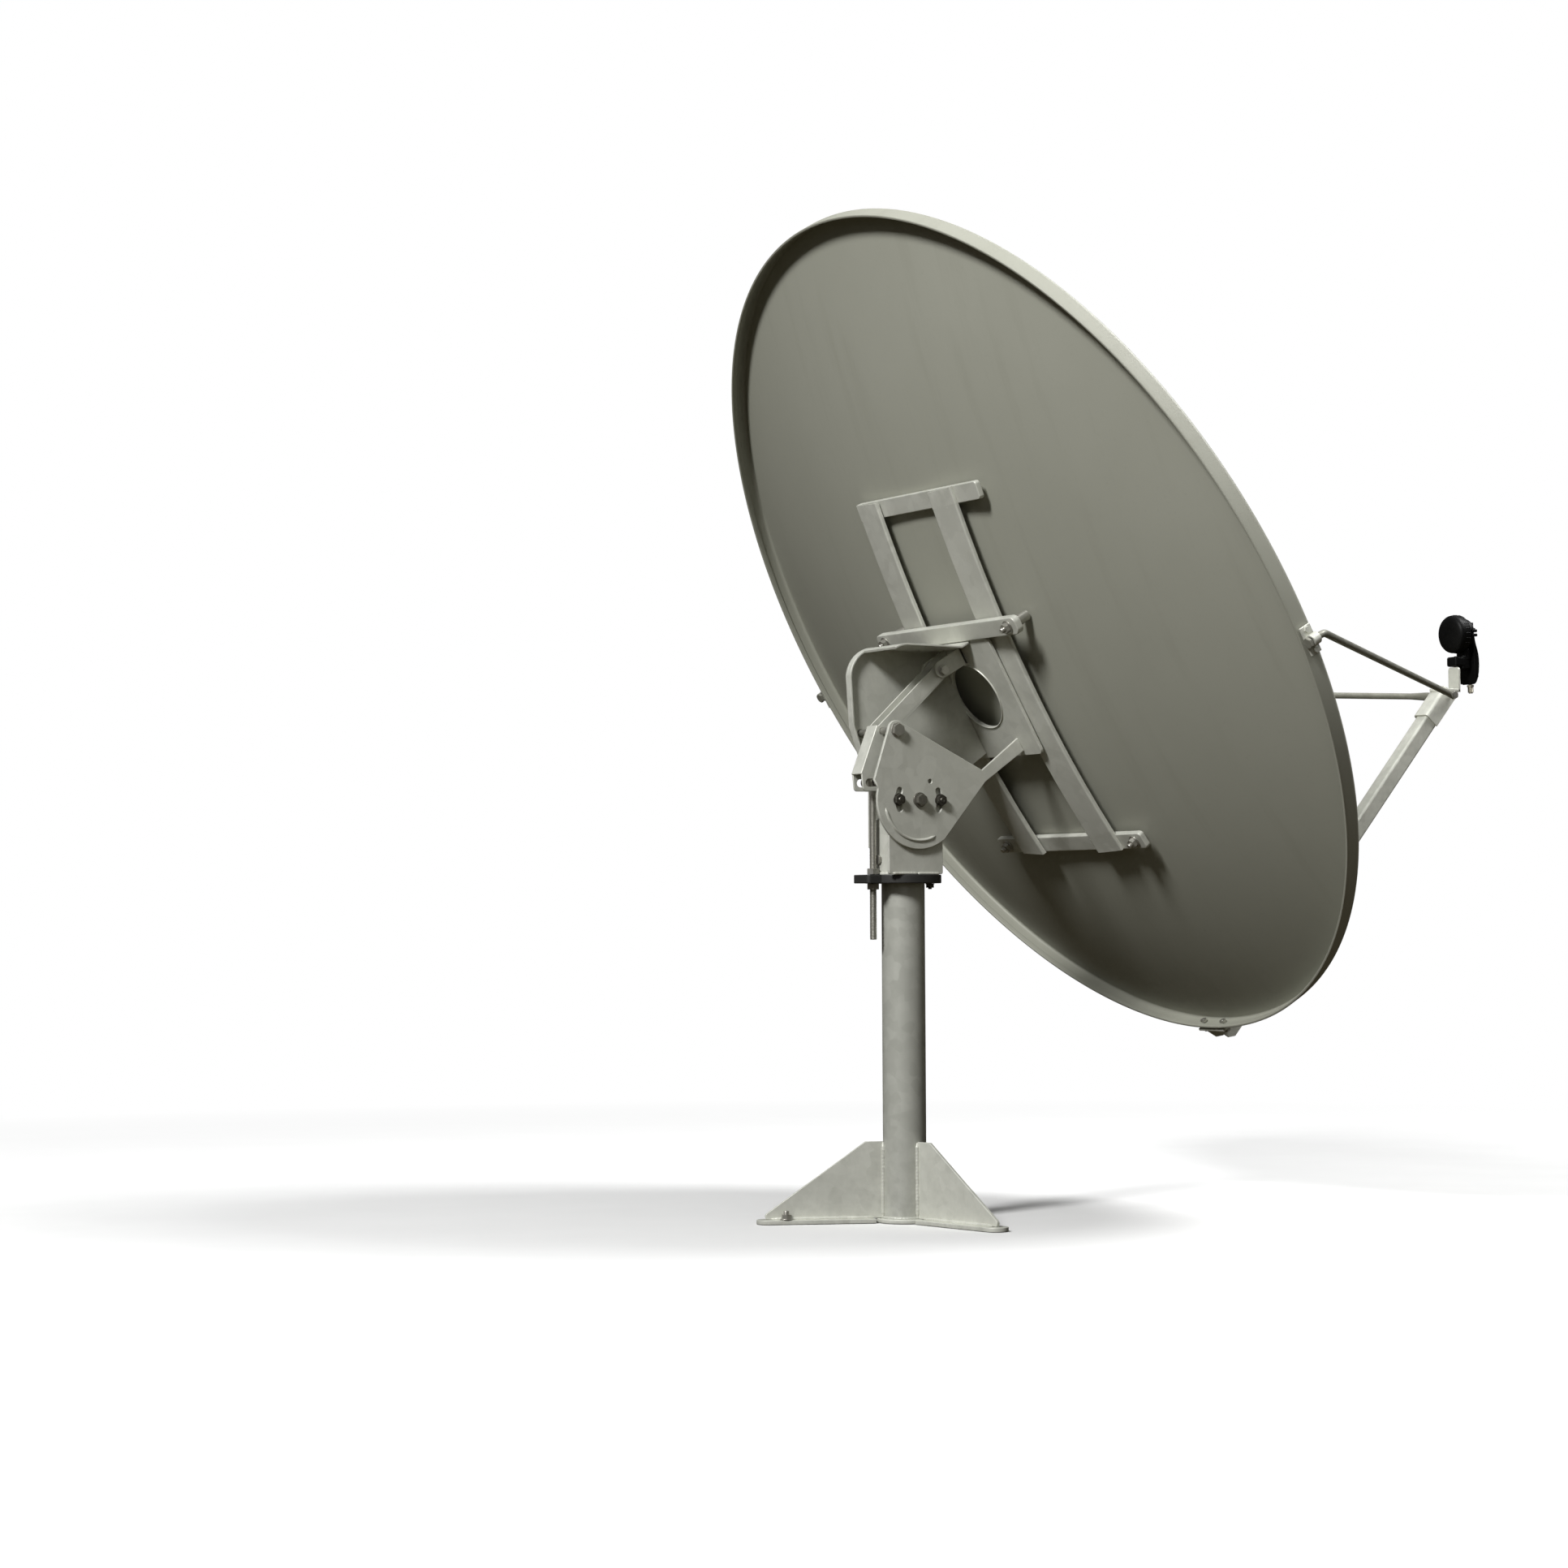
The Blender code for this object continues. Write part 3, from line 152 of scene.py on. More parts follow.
def upright(x=0.0):
    """The frame of an upright plate across X: its own X and Y are the world's Y and Z."""
    return side_axis((x, 0, 0))


def dish_point(x, eta, behind=0.0):
    """A point of the reflector's front surface in the dish frame, or this far behind it."""
    up = eta - APERTURE_OFFSET
    height = axial(x, eta) - RIM_AXIAL
    cos, sin = math.cos(TAU), math.sin(TAU)
    point = Vector((x, up * cos + height * sin, -up * sin + height * cos))
    slope_x, slope_eta = x / (2 * FOCAL_LENGTH), eta / (2 * FOCAL_LENGTH)
    normal = Vector((slope_x, slope_eta * cos - sin, -slope_eta * sin - cos)).normalized()
    return point + normal * behind


def eta_at(u, x=0.0):
    """The height above the paraboloid's axis of the surface's point u up the rim's plane."""
    low, high = 0.0, 2 * APERTURE_OFFSET
    for _ in range(40):
        middle = (low + high) / 2
        if dish_point(x, middle).y < u:
            low = middle
        else:
            high = middle
    return low


def rail_back(u):
    """How far behind the rim's plane a rail's back lies."""
    inner = RAIL_X - RAIL_WIDTH / 2
    depth = SHEET + RAIL_OFF_DISH + RAIL_DEPTH
    return -min(dish_point(x, eta_at(u, x), depth).z for x in (inner, RAIL_X))


# ---------------------------------------------------------------- material nodes
def feed(made, key, value):
    """Gives a node's input a socket to follow, or a number or colour of its own."""
    socket = made.inputs[key]
    if isinstance(value, bpy.types.NodeSocket):
        made.id_data.links.new(value, socket)
    elif socket.type == "RGBA":
        socket.default_value = (*value, 1)
    else:
        socket.default_value = value


def node(tree, kind, **settings):
    """A node; each setting is an input where it has one of that name, and else a property."""
    made = tree.nodes.new(kind)
    for key, value in settings.items():
        if key in made.inputs:
            feed(made, key, value)
        else:
            setattr(made, key, value)
    return made


def shader_of(name):
    """A new material with its tree, its shader and the object's own coordinates."""
    material = bpy.data.materials.new(name)
    material.use_nodes = True
    tree = material.node_tree
    where = node(tree, "ShaderNodeTexCoord").outputs["Object"]
    return material, tree, tree.nodes["Principled BSDF"], where


def noise_of(tree, where, scale, detail=3.0, roughness=0.55):
    made = node(
        tree, "ShaderNodeTexNoise", Vector=where, Scale=scale, Detail=detail, Roughness=roughness
    )
    return made.outputs["Fac"]


def spread(tree, value, low, high, from_low=0.3, from_high=0.7):
    """The value's stretch between the two from values, mapped to low to high."""
    limits = {"From Min": from_low, "From Max": from_high, "To Min": low, "To Max": high}
    return node(tree, "ShaderNodeMapRange", Value=value, **limits).outputs["Result"]


def mixed(tree, factor, first, second):
    """A colour between two, each a colour or a socket."""
    made = node(tree, "ShaderNodeMix", data_type="RGBA")
    for index, value in ((0, factor), (6, first), (7, second)):
        feed(made, index, value)
    return made.outputs[2]


def mixed_shaders(tree, factor, first, second):
    made = node(tree, "ShaderNodeMixShader")
    for index, value in enumerate((factor, first, second)):
        feed(made, index, value)
    return made.outputs[0]


def multiply(tree, first, second):
    made = node(tree, "ShaderNodeMath", operation="MULTIPLY")
    feed(made, 0, first)
    feed(made, 1, second)
    return made.outputs[0]


def bumped(tree, shader, heights):
    """Bump nodes one after another: (height socket, strength, distance in metres)."""
    last = None
    for height, strength, distance in heights:
        bump = node(tree, "ShaderNodeBump", Height=height, Strength=strength, Distance=distance)
        if last:
            feed(bump, "Normal", last)
        last = bump.outputs["Normal"]
    feed(shader, "Normal", last)


def edge_wear(tree, where, low=0.505, high=0.56):
    """1 on sharp outer edges and 0 elsewhere, broken up by noise."""
    point = node(tree, "ShaderNodeNewGeometry").outputs["Pointiness"]
    grain = noise_of(tree, where, 90.0, 4.0)
    return multiply(tree, spread(tree, point, 0.0, 1.0, low, high), spread(tree, grain, 0.0, 1.0))


def surface(shader, base, roughness, **settings):
    """The shader's colour and roughness, and numbers that are the same all over."""
    for key, value in {"Base Color": base, "Roughness": roughness, **settings}.items():
        feed(shader, key, value)


def galvanised_material(name, light, dark, spangle=55.0):
    """Hot-dip galvanised steel, dulled: soft spangle, stains and a little run-off."""
    material, tree, shader, where = shader_of(name)
    wobble = node(tree, "ShaderNodeTexNoise", Vector=where, Scale=30.0)
    shrink = node(tree, "ShaderNodeVectorMath", operation="SCALE", Scale=0.012)
    feed(shrink, 0, wobble.outputs["Color"])
    warp = node(tree, "ShaderNodeVectorMath", operation="ADD")
    feed(warp, 0, where)
    feed(warp, 1, shrink.outputs[0])
    cells = node(tree, "ShaderNodeTexVoronoi", feature="F1", Vector=warp.outputs[0],
                 Scale=spangle, Randomness=1.0)
    flakes = node(tree, "ShaderNodeSeparateColor", Color=cells.outputs["Color"]).outputs[0]
    cloud = noise_of(tree, where, 7.0, 5.0, 0.6)
    stain = noise_of(tree, where, 28.0, 6.0, 0.65)
    pale = tuple(min(1.0, value * 1.22 + 0.02) for value in light)
    base = mixed(tree, spread(tree, flakes, 0.25, 0.75, 0.0, 1.0), dark, light)
    base = mixed(tree, spread(tree, cloud, 0.0, 0.35), base, dark)
    base = mixed(tree, spread(tree, stain, 0.0, 0.30, 0.52, 0.75), base, pale)
    base = mixed(tree, multiply(tree, edge_wear(tree, where), 0.5), base, pale)
    surface(shader, base, spread(tree, flakes, 0.38, 0.52, 0.0, 1.0), Metallic=0.2)
    grain = noise_of(tree, where, 420.0)
    bumped(tree, shader, [(flakes, 0.12, 0.0004), (grain, 0.22, 0.00025)])
    return material


def paint_material(name, light, dark, grime):
    """Matt powder coat on pressed sheet: faint orange peel, soft waves, dust and rain marks."""
    material, tree, shader, where = shader_of(name)
    cloud = noise_of(tree, where, 2.2, 5.0, 0.6)
    speck = noise_of(tree, where, 160.0, 3.0, 0.6)
    rain = node(tree, "ShaderNodeMapping", Vector=where, Scale=(26.0, 2.2, 2.2))
    streak = noise_of(tree, rain.outputs["Vector"], 1.0, 5.0, 0.6)
    base = mixed(tree, spread(tree, cloud, 0.0, 1.0), light, dark)
    base = mixed(tree, spread(tree, streak, 0.0, 0.28, 0.55, 0.8), base, grime)
    base = mixed(tree, spread(tree, speck, 0.0, 0.16, 0.6, 0.78), base, grime)
    surface(shader, base, spread(tree, cloud, 0.42, 0.56), Metallic=0.0)
    peel = noise_of(tree, where, 900.0, 2.0)
    wave = noise_of(tree, where, 9.0, 2.0)
    bumped(tree, shader, [(wave, 0.06, 0.002), (peel, 0.10, 0.0002)])
    return material


def zinc_material(name, light, dark):
    """Plated hardware: cloudy metal with white rust in patches."""
    material, tree, shader, where = shader_of(name)
    cloud = noise_of(tree, where, 60.0, 5.0, 0.6)
    bloom = noise_of(tree, where, 240.0, 4.0, 0.6)
    base = mixed(tree, spread(tree, cloud, 0.0, 1.0), light, dark)
    base = mixed(tree, spread(tree, bloom, 0.0, 0.45, 0.55, 0.75), base, (0.62, 0.61, 0.56))
    surface(shader, base, spread(tree, cloud, 0.30, 0.48), Metallic=0.85)
    bumped(tree, shader, [(bloom, 0.2, 0.0003)])
    return material


def plastic_material(name, light, dark):
    """Moulded plastic with a fine spark-eroded grain and faded patches."""
    material, tree, shader, where = shader_of(name)
    cloud = noise_of(tree, where, 35.0, 4.0, 0.6)
    worn = tuple(value * 1.6 for value in light)
    base = mixed(tree, spread(tree, cloud, 0.0, 1.0), dark, light)
    base = mixed(tree, multiply(tree, edge_wear(tree, where), 0.4), base, worn)
    surface(shader, base, spread(tree, cloud, 0.36, 0.50), **{"Specular IOR Level": 0.12})
    grain = noise_of(tree, where, 1400.0, 2.0)
    bumped(tree, shader, [(grain, 0.25, 0.00012)])
    return material


STEEL = galvanised_material("galvanised_steel", (0.66, 0.665, 0.60), (0.52, 0.525, 0.465))
POLE_STEEL = galvanised_material(
    "galvanised_tube", (0.50, 0.505, 0.455), (0.40, 0.405, 0.36), spangle=70.0
)
STAY_STEEL = galvanised_material(
    "dull_rod", (0.27, 0.268, 0.225), (0.19, 0.188, 0.155), spangle=90.0
)
BLACK_STEEL = paint_material(
    "black_enamel", (0.030, 0.030, 0.028), (0.020, 0.020, 0.019), (0.060, 0.055, 0.045)
)
PAINT = paint_material(
    "reflector_paint", (0.375, 0.378, 0.320), (0.335, 0.338, 0.282), (0.24, 0.235, 0.185)
)
ZINC = zinc_material("zinc_plate", (0.58, 0.57, 0.52), (0.42, 0.41, 0.37))
DULL_ZINC = zinc_material("dull_zinc", (0.34, 0.33, 0.29), (0.22, 0.21, 0.18))
DARK_ZINC = zinc_material("oxidised_zinc", (0.16, 0.15, 0.13), (0.09, 0.085, 0.07))
BLACK = plastic_material("black_plastic", (0.0035, 0.0035, 0.0035), (0.002, 0.002, 0.002))
NICKEL = zinc_material("nickel_plate", (0.68, 0.64, 0.54), (0.52, 0.48, 0.40))


# ---------------------------------------------------------------- mesh building
BODY_OF = {
    name: body
    for body, names in frame["record"]["behaviour"]["bodies"].items()
    for name in names
}


def bridge(bm, first, second):
    """Faces between two rings of vertices; a ring of one vertex is a pole."""
    count = max(len(first), len(second))
    for i in range(count):
        j = (i + 1) % count
        if len(first) == 1:
            bm.faces.new((first[0], second[j], second[i]))
        elif len(second) == 1:
            bm.faces.new((first[i], first[j], second[0]))
        else:
            bm.faces.new((first[i], first[j], second[j], second[i]))


def loft(bm, rows, closed=False):
    """Rings of points joined in order, with flat ends unless the rings close on themselves."""
    rings = [[bm.verts.new(point) for point in row] for row in rows]
    for first, second in zip(rings, rings[1:] + (rings[:1] if closed else [])):
        bridge(bm, first, second)
    for ring in () if closed else (rings[0], rings[-1]):
        if len(ring) > 1:
            bm.faces.new(ring)


def arc(centre, radius, start, end, steps=12):
    points = []
    for index in range(steps + 1):
        angle = math.radians(start + (end - start) * index / steps)
        points.append((centre[0] + radius * math.cos(angle), centre[1] + radius * math.sin(angle)))
    return points


def circle(centre, radius, steps=32):
    return arc(centre, radius, 0, 360 - 360 / steps, steps - 1)


def rounded_rectangle(left, right, low, high, radius, steps=6):
    """Its outline, counter-clockwise from the corner at right and high."""
    right, high, left, low = right - radius, high - radius, left + radius, low + radius
    points = []
    for x, y, start in ((right, high, 0), (left, high, 90), (left, low, 180), (right, low, 270)):
        points += arc((x, y), radius, start, start + 90, steps)
    return points


def lathe(bm, place, profile, segments=64, closed=False):
    """A profile of (radius, z) points turned about the place's Z axis."""
    rows = []
    for radius, z in profile:
        if radius < 1e-7:
            rows.append([place @ Vector((0, 0, z))])
        else:
            rows.append([place @ Vector((x, y, z)) for x, y in circle((0, 0), radius, segments)])
    loft(bm, rows, closed)


def rod_end(radius, low, high, chamfer=0.0006):
    """A solid bar's profile with chamfered ends."""
    return [(0, low), (radius - chamfer, low), (radius, low + chamfer), (radius, high - chamfer),
            (radius - chamfer, high), (0, high)]


def collar(bm, place, inner, outer, low, high, edge=0.0004, segments=48):
    """A washer or ring."""
    profile = [
        (inner, low + edge), (inner + edge, low), (outer - edge, low), (outer, low + edge),
        (outer, high - edge), (outer - edge, high), (inner + edge, high), (inner, high - edge),
    ]
    lathe(bm, place, profile, segments, closed=True)


def hexagon(bm, place, corner, low, high, bore=0.0, segments=48):
    """A nut or bolt head, its corners cut by the usual 30 degree cone at both faces."""
    flat = corner * math.cos(math.pi / 6)
    land = flat * 0.965
    slope = math.tan(math.radians(30))
    outline = []
    for index in range(segments):
        angle = 2 * math.pi * index / segments
        from_flat = (angle + math.pi / 6) % (math.pi / 3) - math.pi / 6
        outline.append((angle, flat / math.cos(from_flat)))

    def ring(radius_of, z_of):
        return [
            place @ Vector((radius_of(r) * math.cos(a), radius_of(r) * math.sin(a), z_of(r)))
            for a, r in outline
        ]

    rows = [
        ring(lambda r: land, lambda r: low),
        ring(lambda r: r, lambda r: low + (r - land) * slope),
        ring(lambda r: r, lambda r: high - (r - land) * slope),
        ring(lambda r: land, lambda r: high),
    ]
    if bore:
        lead = 0.0006
        rows.append(ring(lambda r: bore + lead, lambda r: high))
        rows.append(ring(lambda r: bore, lambda r: high - lead))
        rows.append(ring(lambda r: bore, lambda r: low + lead))
        rows.append(ring(lambda r: bore + lead, lambda r: low))
        loft(bm, rows, closed=True)
    else:
        loft(bm, rows)


def threaded(bm, place, radius, low, high, pitch=0.00125, rows=5, segments=20):
    """A threaded bar: the ridge climbs one pitch for every turn."""
    depth = 0.55 * pitch
    count = max(4, int((high - low) / pitch * rows))
    rings = [[place @ Vector((0, 0, low))]]
    for level in range(count + 1):
        z = low + (high - low) * level / count
        near_end = min(z - low, high - z)
        ring = []
        for index in range(segments):
            turn = index / segments
            phase = (z / pitch - turn) % 1
            ridge = 1 - abs(2 * phase - 1)
            at = radius - depth * (1 - ridge)
            if near_end < pitch:
                at = min(at, radius - depth * (1 - near_end / pitch))
            angle = 2 * math.pi * turn
            ring.append(place @ Vector((at * math.cos(angle), at * math.sin(angle), z)))
        rings.append(ring)
    rings.append([place @ Vector((0, 0, high))])
    loft(bm, rings)


def through_bolt(bm, place, reach, shank, screw, washer, corner, faces, chamfer=0.0006, sides=28):
    """A bolt across two sides that are reach away: bar, thread, washers, head and nut."""
    radius, below, above = shank
    lathe(bm, place, rod_end(radius, -reach - below, reach + above, chamfer), sides)
    radius, start, end = screw
    threaded(bm, place, radius, reach + start, reach + end)
    inner, outer, thickness = washer
    for low in (-reach - thickness, reach):
        collar(bm, place, inner, outer, low, low + thickness)
    head, nut = faces
    hexagon(bm, place, corner, -reach - head, -reach - thickness)
    hexagon(bm, place, corner, reach + thickness, reach + nut)


def signed_area(points):
    return sum(
        a[0] * b[1] - b[0] * a[1] for a, b in zip(points, points[1:] + points[:1])
    ) / 2


def inset(points, distance):
    """The loop moved to the left of its direction."""
    count = len(points)
    moved = []
    for i in range(count):
        before, here, after = (Vector(points[k % count][:2]) for k in (i - 1, i, i + 1))
        first = (here - before).normalized()
        second = (after - here).normalized()
        left = Vector((-first.y, first.x)) + Vector((-second.y, second.x))
        share = max(0.35, 1 + first.dot(second))
        moved.append(here + left * (distance / share))
    return moved


def clean(points, ccw):
    """The loop without doubled points, counter-clockwise or clockwise as asked."""
    kept = []
    for point in points:
        if not kept or (Vector(point) - Vector(kept[-1])).length > 1e-5:
            kept.append(tuple(point))
    if (Vector(kept[0]) - Vector(kept[-1])).length < 1e-5:
        kept.pop()
    if (signed_area(kept) > 0) != ccw:
        kept.reverse()
    return kept


def extrude(bm, place, outline, low, high, edge=0.0006, holes=(), steps=2):
    """A plate from low to high along the place's Z, with rounded edges and through holes."""
    loops = [clean(outline, True)] + [clean(hole, False) for hole in holes]
    levels = []
    for k in range(steps + 1):
        angle = math.pi / 2 * k / steps
        levels.append((edge * (1 - math.sin(angle)), low + edge * (1 - math.cos(angle))))
    levels += [(shift, low + high - z) for shift, z in reversed(levels)]
    caps = ([], [])
    for loop in loops:
        rings = []
        for shift, z in levels:
            ring = inset(loop, shift) if shift else [Vector(point) for point in loop]
            rings.append([bm.verts.new(place @ Vector((p.x, p.y, z))) for p in ring])
        for first, second in zip(rings, rings[1:]):
            bridge(bm, first, second)
        for cap, ring in zip(caps, (rings[0], rings[-1])):
            for i, vertex in enumerate(ring):
                cap.append(bm.edges.get((vertex, ring[(i + 1) % len(ring)])))
    for cap in caps:
        bmesh.ops.triangle_fill(bm, use_beauty=True, use_dissolve=False, edges=cap)


def rounded_box(bm, place, size, centre, edge=0.0008, segments=2):
    """A block with rounded edges."""
    verts = bmesh.ops.create_cube(bm, size=1)["verts"]
    bmesh.ops.scale(bm, vec=size, verts=verts)
    bmesh.ops.translate(bm, vec=centre, verts=verts)
    edges = list(dict.fromkeys(e for v in verts for e in v.link_edges))
    before = set(bm.verts)
    bmesh.ops.bevel(bm, geom=edges, offset=edge, segments=segments, profile=0.5, affect="EDGES")
    moved = {v for v in bm.verts if v not in before}
    moved |= {v for v in verts if v.is_valid}
    bmesh.ops.transform(bm, matrix=place, verts=list(moved))


def sweep(bm, points, radius_at, segments=16, oval=None):
    """A round bar along points. radius_at(t) is its radius and oval(t) its flattening."""
    tangents = []
    for i in range(len(points)):
        ahead = points[min(i + 1, len(points) - 1)]
        behind = points[max(i - 1, 0)]
        tangents.append((ahead - behind).normalized())
    side = tangents[0].orthogonal().normalized()
    if abs(tangents[0].x) < 0.9:
        side = (Vector((1, 0, 0)) - tangents[0] * tangents[0].x).normalized()
    rows = []
    lengths = [0.0]
    for a, b in zip(points, points[1:]):
        lengths.append(lengths[-1] + (b - a).length)
    for point, tangent, length in zip(points, tangents, lengths):
        side = (side - tangent * side.dot(tangent)).normalized()
        up = tangent.cross(side)
        t = length / lengths[-1]
        wide = oval(t) if oval else (1, 1)
        radius = radius_at(t)
        rows.append(
            [
                point + side * (x * radius * wide[0]) + up * (y * radius * wide[1])
                for x, y in circle((0, 0), 1, segments)
            ]
        )
    loft(bm, rows)


def rounded_path(corners, radius, steps=6):
    """A polyline whose inner corners are arcs of about this radius."""
    points = [corners[0]]
    for before, here, after in zip(corners, corners[1:], corners[2:]):
        near = min(radius, (here - before).length * 0.45, (after - here).length * 0.45)
        start = here + (before - here).normalized() * near
        end = here + (after - here).normalized() * near
        for k in range(steps + 1):
            t = k / steps
            points.append(start * (1 - t) ** 2 + here * (2 * t * (1 - t)) + end * t ** 2)
    points.append(corners[-1])
    return points


def subdivided(points, step):
    """The polyline with points added, about a step apart."""
    out = [points[0]]
    for a, b in zip(points, points[1:]):
        count = max(1, round((b - a).length / step))
        out += [a.lerp(b, k / count) for k in range(1, count + 1)]
    return out


def thick_line(points, thickness):
    """The closed outline of a folded sheet seen edge-on, from its middle line."""
    count = len(points)
    sides = ([], [])
    for i in range(count):
        here = Vector(points[i])
        ahead = Vector(points[min(i + 1, count - 1)]) - here
        behind = here - Vector(points[max(i - 1, 0)])
        first = (behind if behind.length > 1e-9 else ahead).normalized()
        second = (ahead if ahead.length > 1e-9 else behind).normalized()
        left = Vector((-first.y, first.x)) + Vector((-second.y, second.x))
        reach = left * (thickness / 2 / max(0.35, 1 + first.dot(second)))
        sides[0].append(tuple(here + reach))
        sides[1].append(tuple(here - reach))
    return sides[0] + sides[1][::-1]


def weld(bm, points, radius, seed):
    """A weld bead: a bar along points with the ripples that a torch leaves."""
    noise.seed_set(seed)
    path = subdivided(points, 0.0012)

    def radius_at(t):
        ripple = 0.06 * math.sin(t * len(path) * 1.55)
        wander = 0.12 * noise.noise(Vector((t * 14, seed, 0)))
        end = min(1.0, 12 * min(t, 1 - t) + 0.25)
        return radius * end * (1 + ripple + wander)

    sweep(bm, path, radius_at, 12)


def link_mesh(name, bm, material):
    mesh = bpy.data.meshes.new(name)
    bm.to_mesh(mesh)
    bm.free()
    mesh.materials.append(material)
    obj = bpy.data.objects.new(name, mesh)
    bpy.context.scene.collection.objects.link(obj)
    return obj


def piece(name, build, material, nodes=(), body=None, smooth=52):
    """Makes a piece from build(bm). It rides with its nodes' body and stands for them."""
    bm = bmesh.new()
    build(bm)
    bmesh.ops.recalc_face_normals(bm, faces=bm.faces)
    obj = link_mesh(name, bm, material)
    obj.data.shade_smooth()
    obj.data.set_sharp_from_angle(angle=math.radians(smooth))
    obj.modifiers.new("flat_faces_stay_flat", "WEIGHTED_NORMAL").keep_sharp = True
    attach(obj, body or BODY_OF[nodes[0]])
    if nodes:
        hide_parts(*nodes)


def fine(node_name, build, material=STEEL, **settings):
    piece(f"{node_name}_fine", build, material, (node_name,), **settings)


GROUND = Matrix.Identity(4)


def from_dish(back, u):
    """World (y, z) of a point this far behind the rim's plane and u up it."""
    place = DISH @ Vector((0, u, -back))
    return (place.y, place.z)


# ---------------------------------------------------------------- base
def build_base():
    def foot_plate(bm):
        plug = 0.0259
        top = POLE_BOTTOM - GAP
        lathe(bm, GROUND, [
            (0, 0), (0.0392, 0), (0.040, 0.0008), (0.040, top - 0.0008), (0.0392, top),
            (plug, top), (plug, 0.0155), (plug - 0.0005, 0.016), (0, 0.016),
        ], 96)

    fine("pole_foot_plate", foot_plate)

    def pole(bm):
        inner = POLE_RADIUS - POLE_WALL
        edge = 0.0005
        lathe(bm, GROUND, [
            (inner, POLE_BOTTOM), (POLE_RADIUS - edge, POLE_BOTTOM),
            (POLE_RADIUS, POLE_BOTTOM + edge), (POLE_RADIUS, 0.12), (POLE_RADIUS, 0.25),
            (POLE_RADIUS, 0.40), (POLE_RADIUS, POLE_TOP - edge),
            (POLE_RADIUS - edge, POLE_TOP), (inner, POLE_TOP),
        ], 128, closed=True)
        ring = [Vector((x, y, POLE_BOTTOM + 0.0004))
                for x, y in arc((0, 0), POLE_RADIUS + 0.0012, 0, 358, 90)]
        weld(bm, ring, 0.0026, 3)

    fine("pole", pole, POLE_STEEL)
    for index, (side, degrees) in enumerate(FIN_ANGLES.items()):
        build_leg(index, side, Matrix.Rotation(math.radians(degrees), 4, "Z"))


def build_leg(index, side, turn):
    root = POLE_RADIUS + GAP
    low = FOOT_THICKNESS + GAP

    def fin(bm):
        outline = [
            (root, low),
            (FIN_REACH - 0.013, low),
            *arc((FIN_REACH - 0.0165, low + 0.0045), 0.0045, -30, 50, 5),
            *arc((root + 0.024, FIN_HEIGHT - 0.0045), 0.0045, 40, 90, 5),
            (root, FIN_HEIGHT),
        ]
        standing = turn @ columns((1, 0, 0), (0, 0, 1), (0, -1, 0), (0, 0, 0))
        extrude(bm, standing, outline, -0.0025, 0.0025, 0.0007)
        for sign in (-1, 1):
            upright_line = [turn @ Vector((root + 0.0004, sign * 0.0031, z))
                            for z in (low + 0.001, FIN_HEIGHT - 0.001)]
            weld(bm, upright_line, 0.0026, 11 + index * 4 + sign)
            foot_line = [turn @ Vector((r, sign * 0.0031, low + 0.0006))
                         for r in (root + 0.014, FIN_REACH - 0.020)]
            weld(bm, foot_line, 0.0023, 31 + index * 4 + sign)

    fine(f"base_fin_{side}", fin)

    def foot(bm):
        half = 0.0175
        outline = arc((FIN_REACH - half, 0), half, -90, 90, 20)
        outline += [(0.043, half), (0.043, -half)]
        hole = circle(ANCHOR_PLACE, 0.0048, 24)
        extrude(bm, turn, outline, 0, FOOT_THICKNESS, 0.0008, [hole])

    fine(f"base_foot_{side}", foot)

    def anchor(bm):
        place = turn @ Matrix.Translation((*ANCHOR_PLACE, 0))
        top = FOOT_THICKNESS + GAP
        threaded(bm, place, 0.0043, 0.0002, 0.0185)
        collar(bm, place, 0.0044, 0.0088, top, top + 0.0013)
        hexagon(bm, place, 0.0070, top + 0.0013, top + 0.0072)

    fine(f"anchor_bolt_{side}", anchor, ZINC)


# ---------------------------------------------------------------- azimuth head
def cheek_outline(side):
    y, z = PIVOT.y, PIVOT.z
    bottom = CANISTER_BOTTOM
    front = [(y - 0.042, z - 0.030), *arc((y - 0.039, bottom + 0.003), 0.003, 180, 270, 4)]
    if side == "left":
        cut = LEFT_REAR_Y - y
        angle = math.degrees(math.acos(cut / 0.045))
        foot = arc((LEFT_REAR_Y - 0.003, bottom + 0.003), 0.003, -90, 0, 4)
        return [*foot, *arc((y, z), 0.045, angle, 162, 36), *front]
    top = arc((y, z), 0.045, 18, 162, 40)
    return [*arc((y + 0.043, bottom + 0.003), 0.003, -90, 0, 4), (y + 0.046, z - 0.030), *top,
            *front]


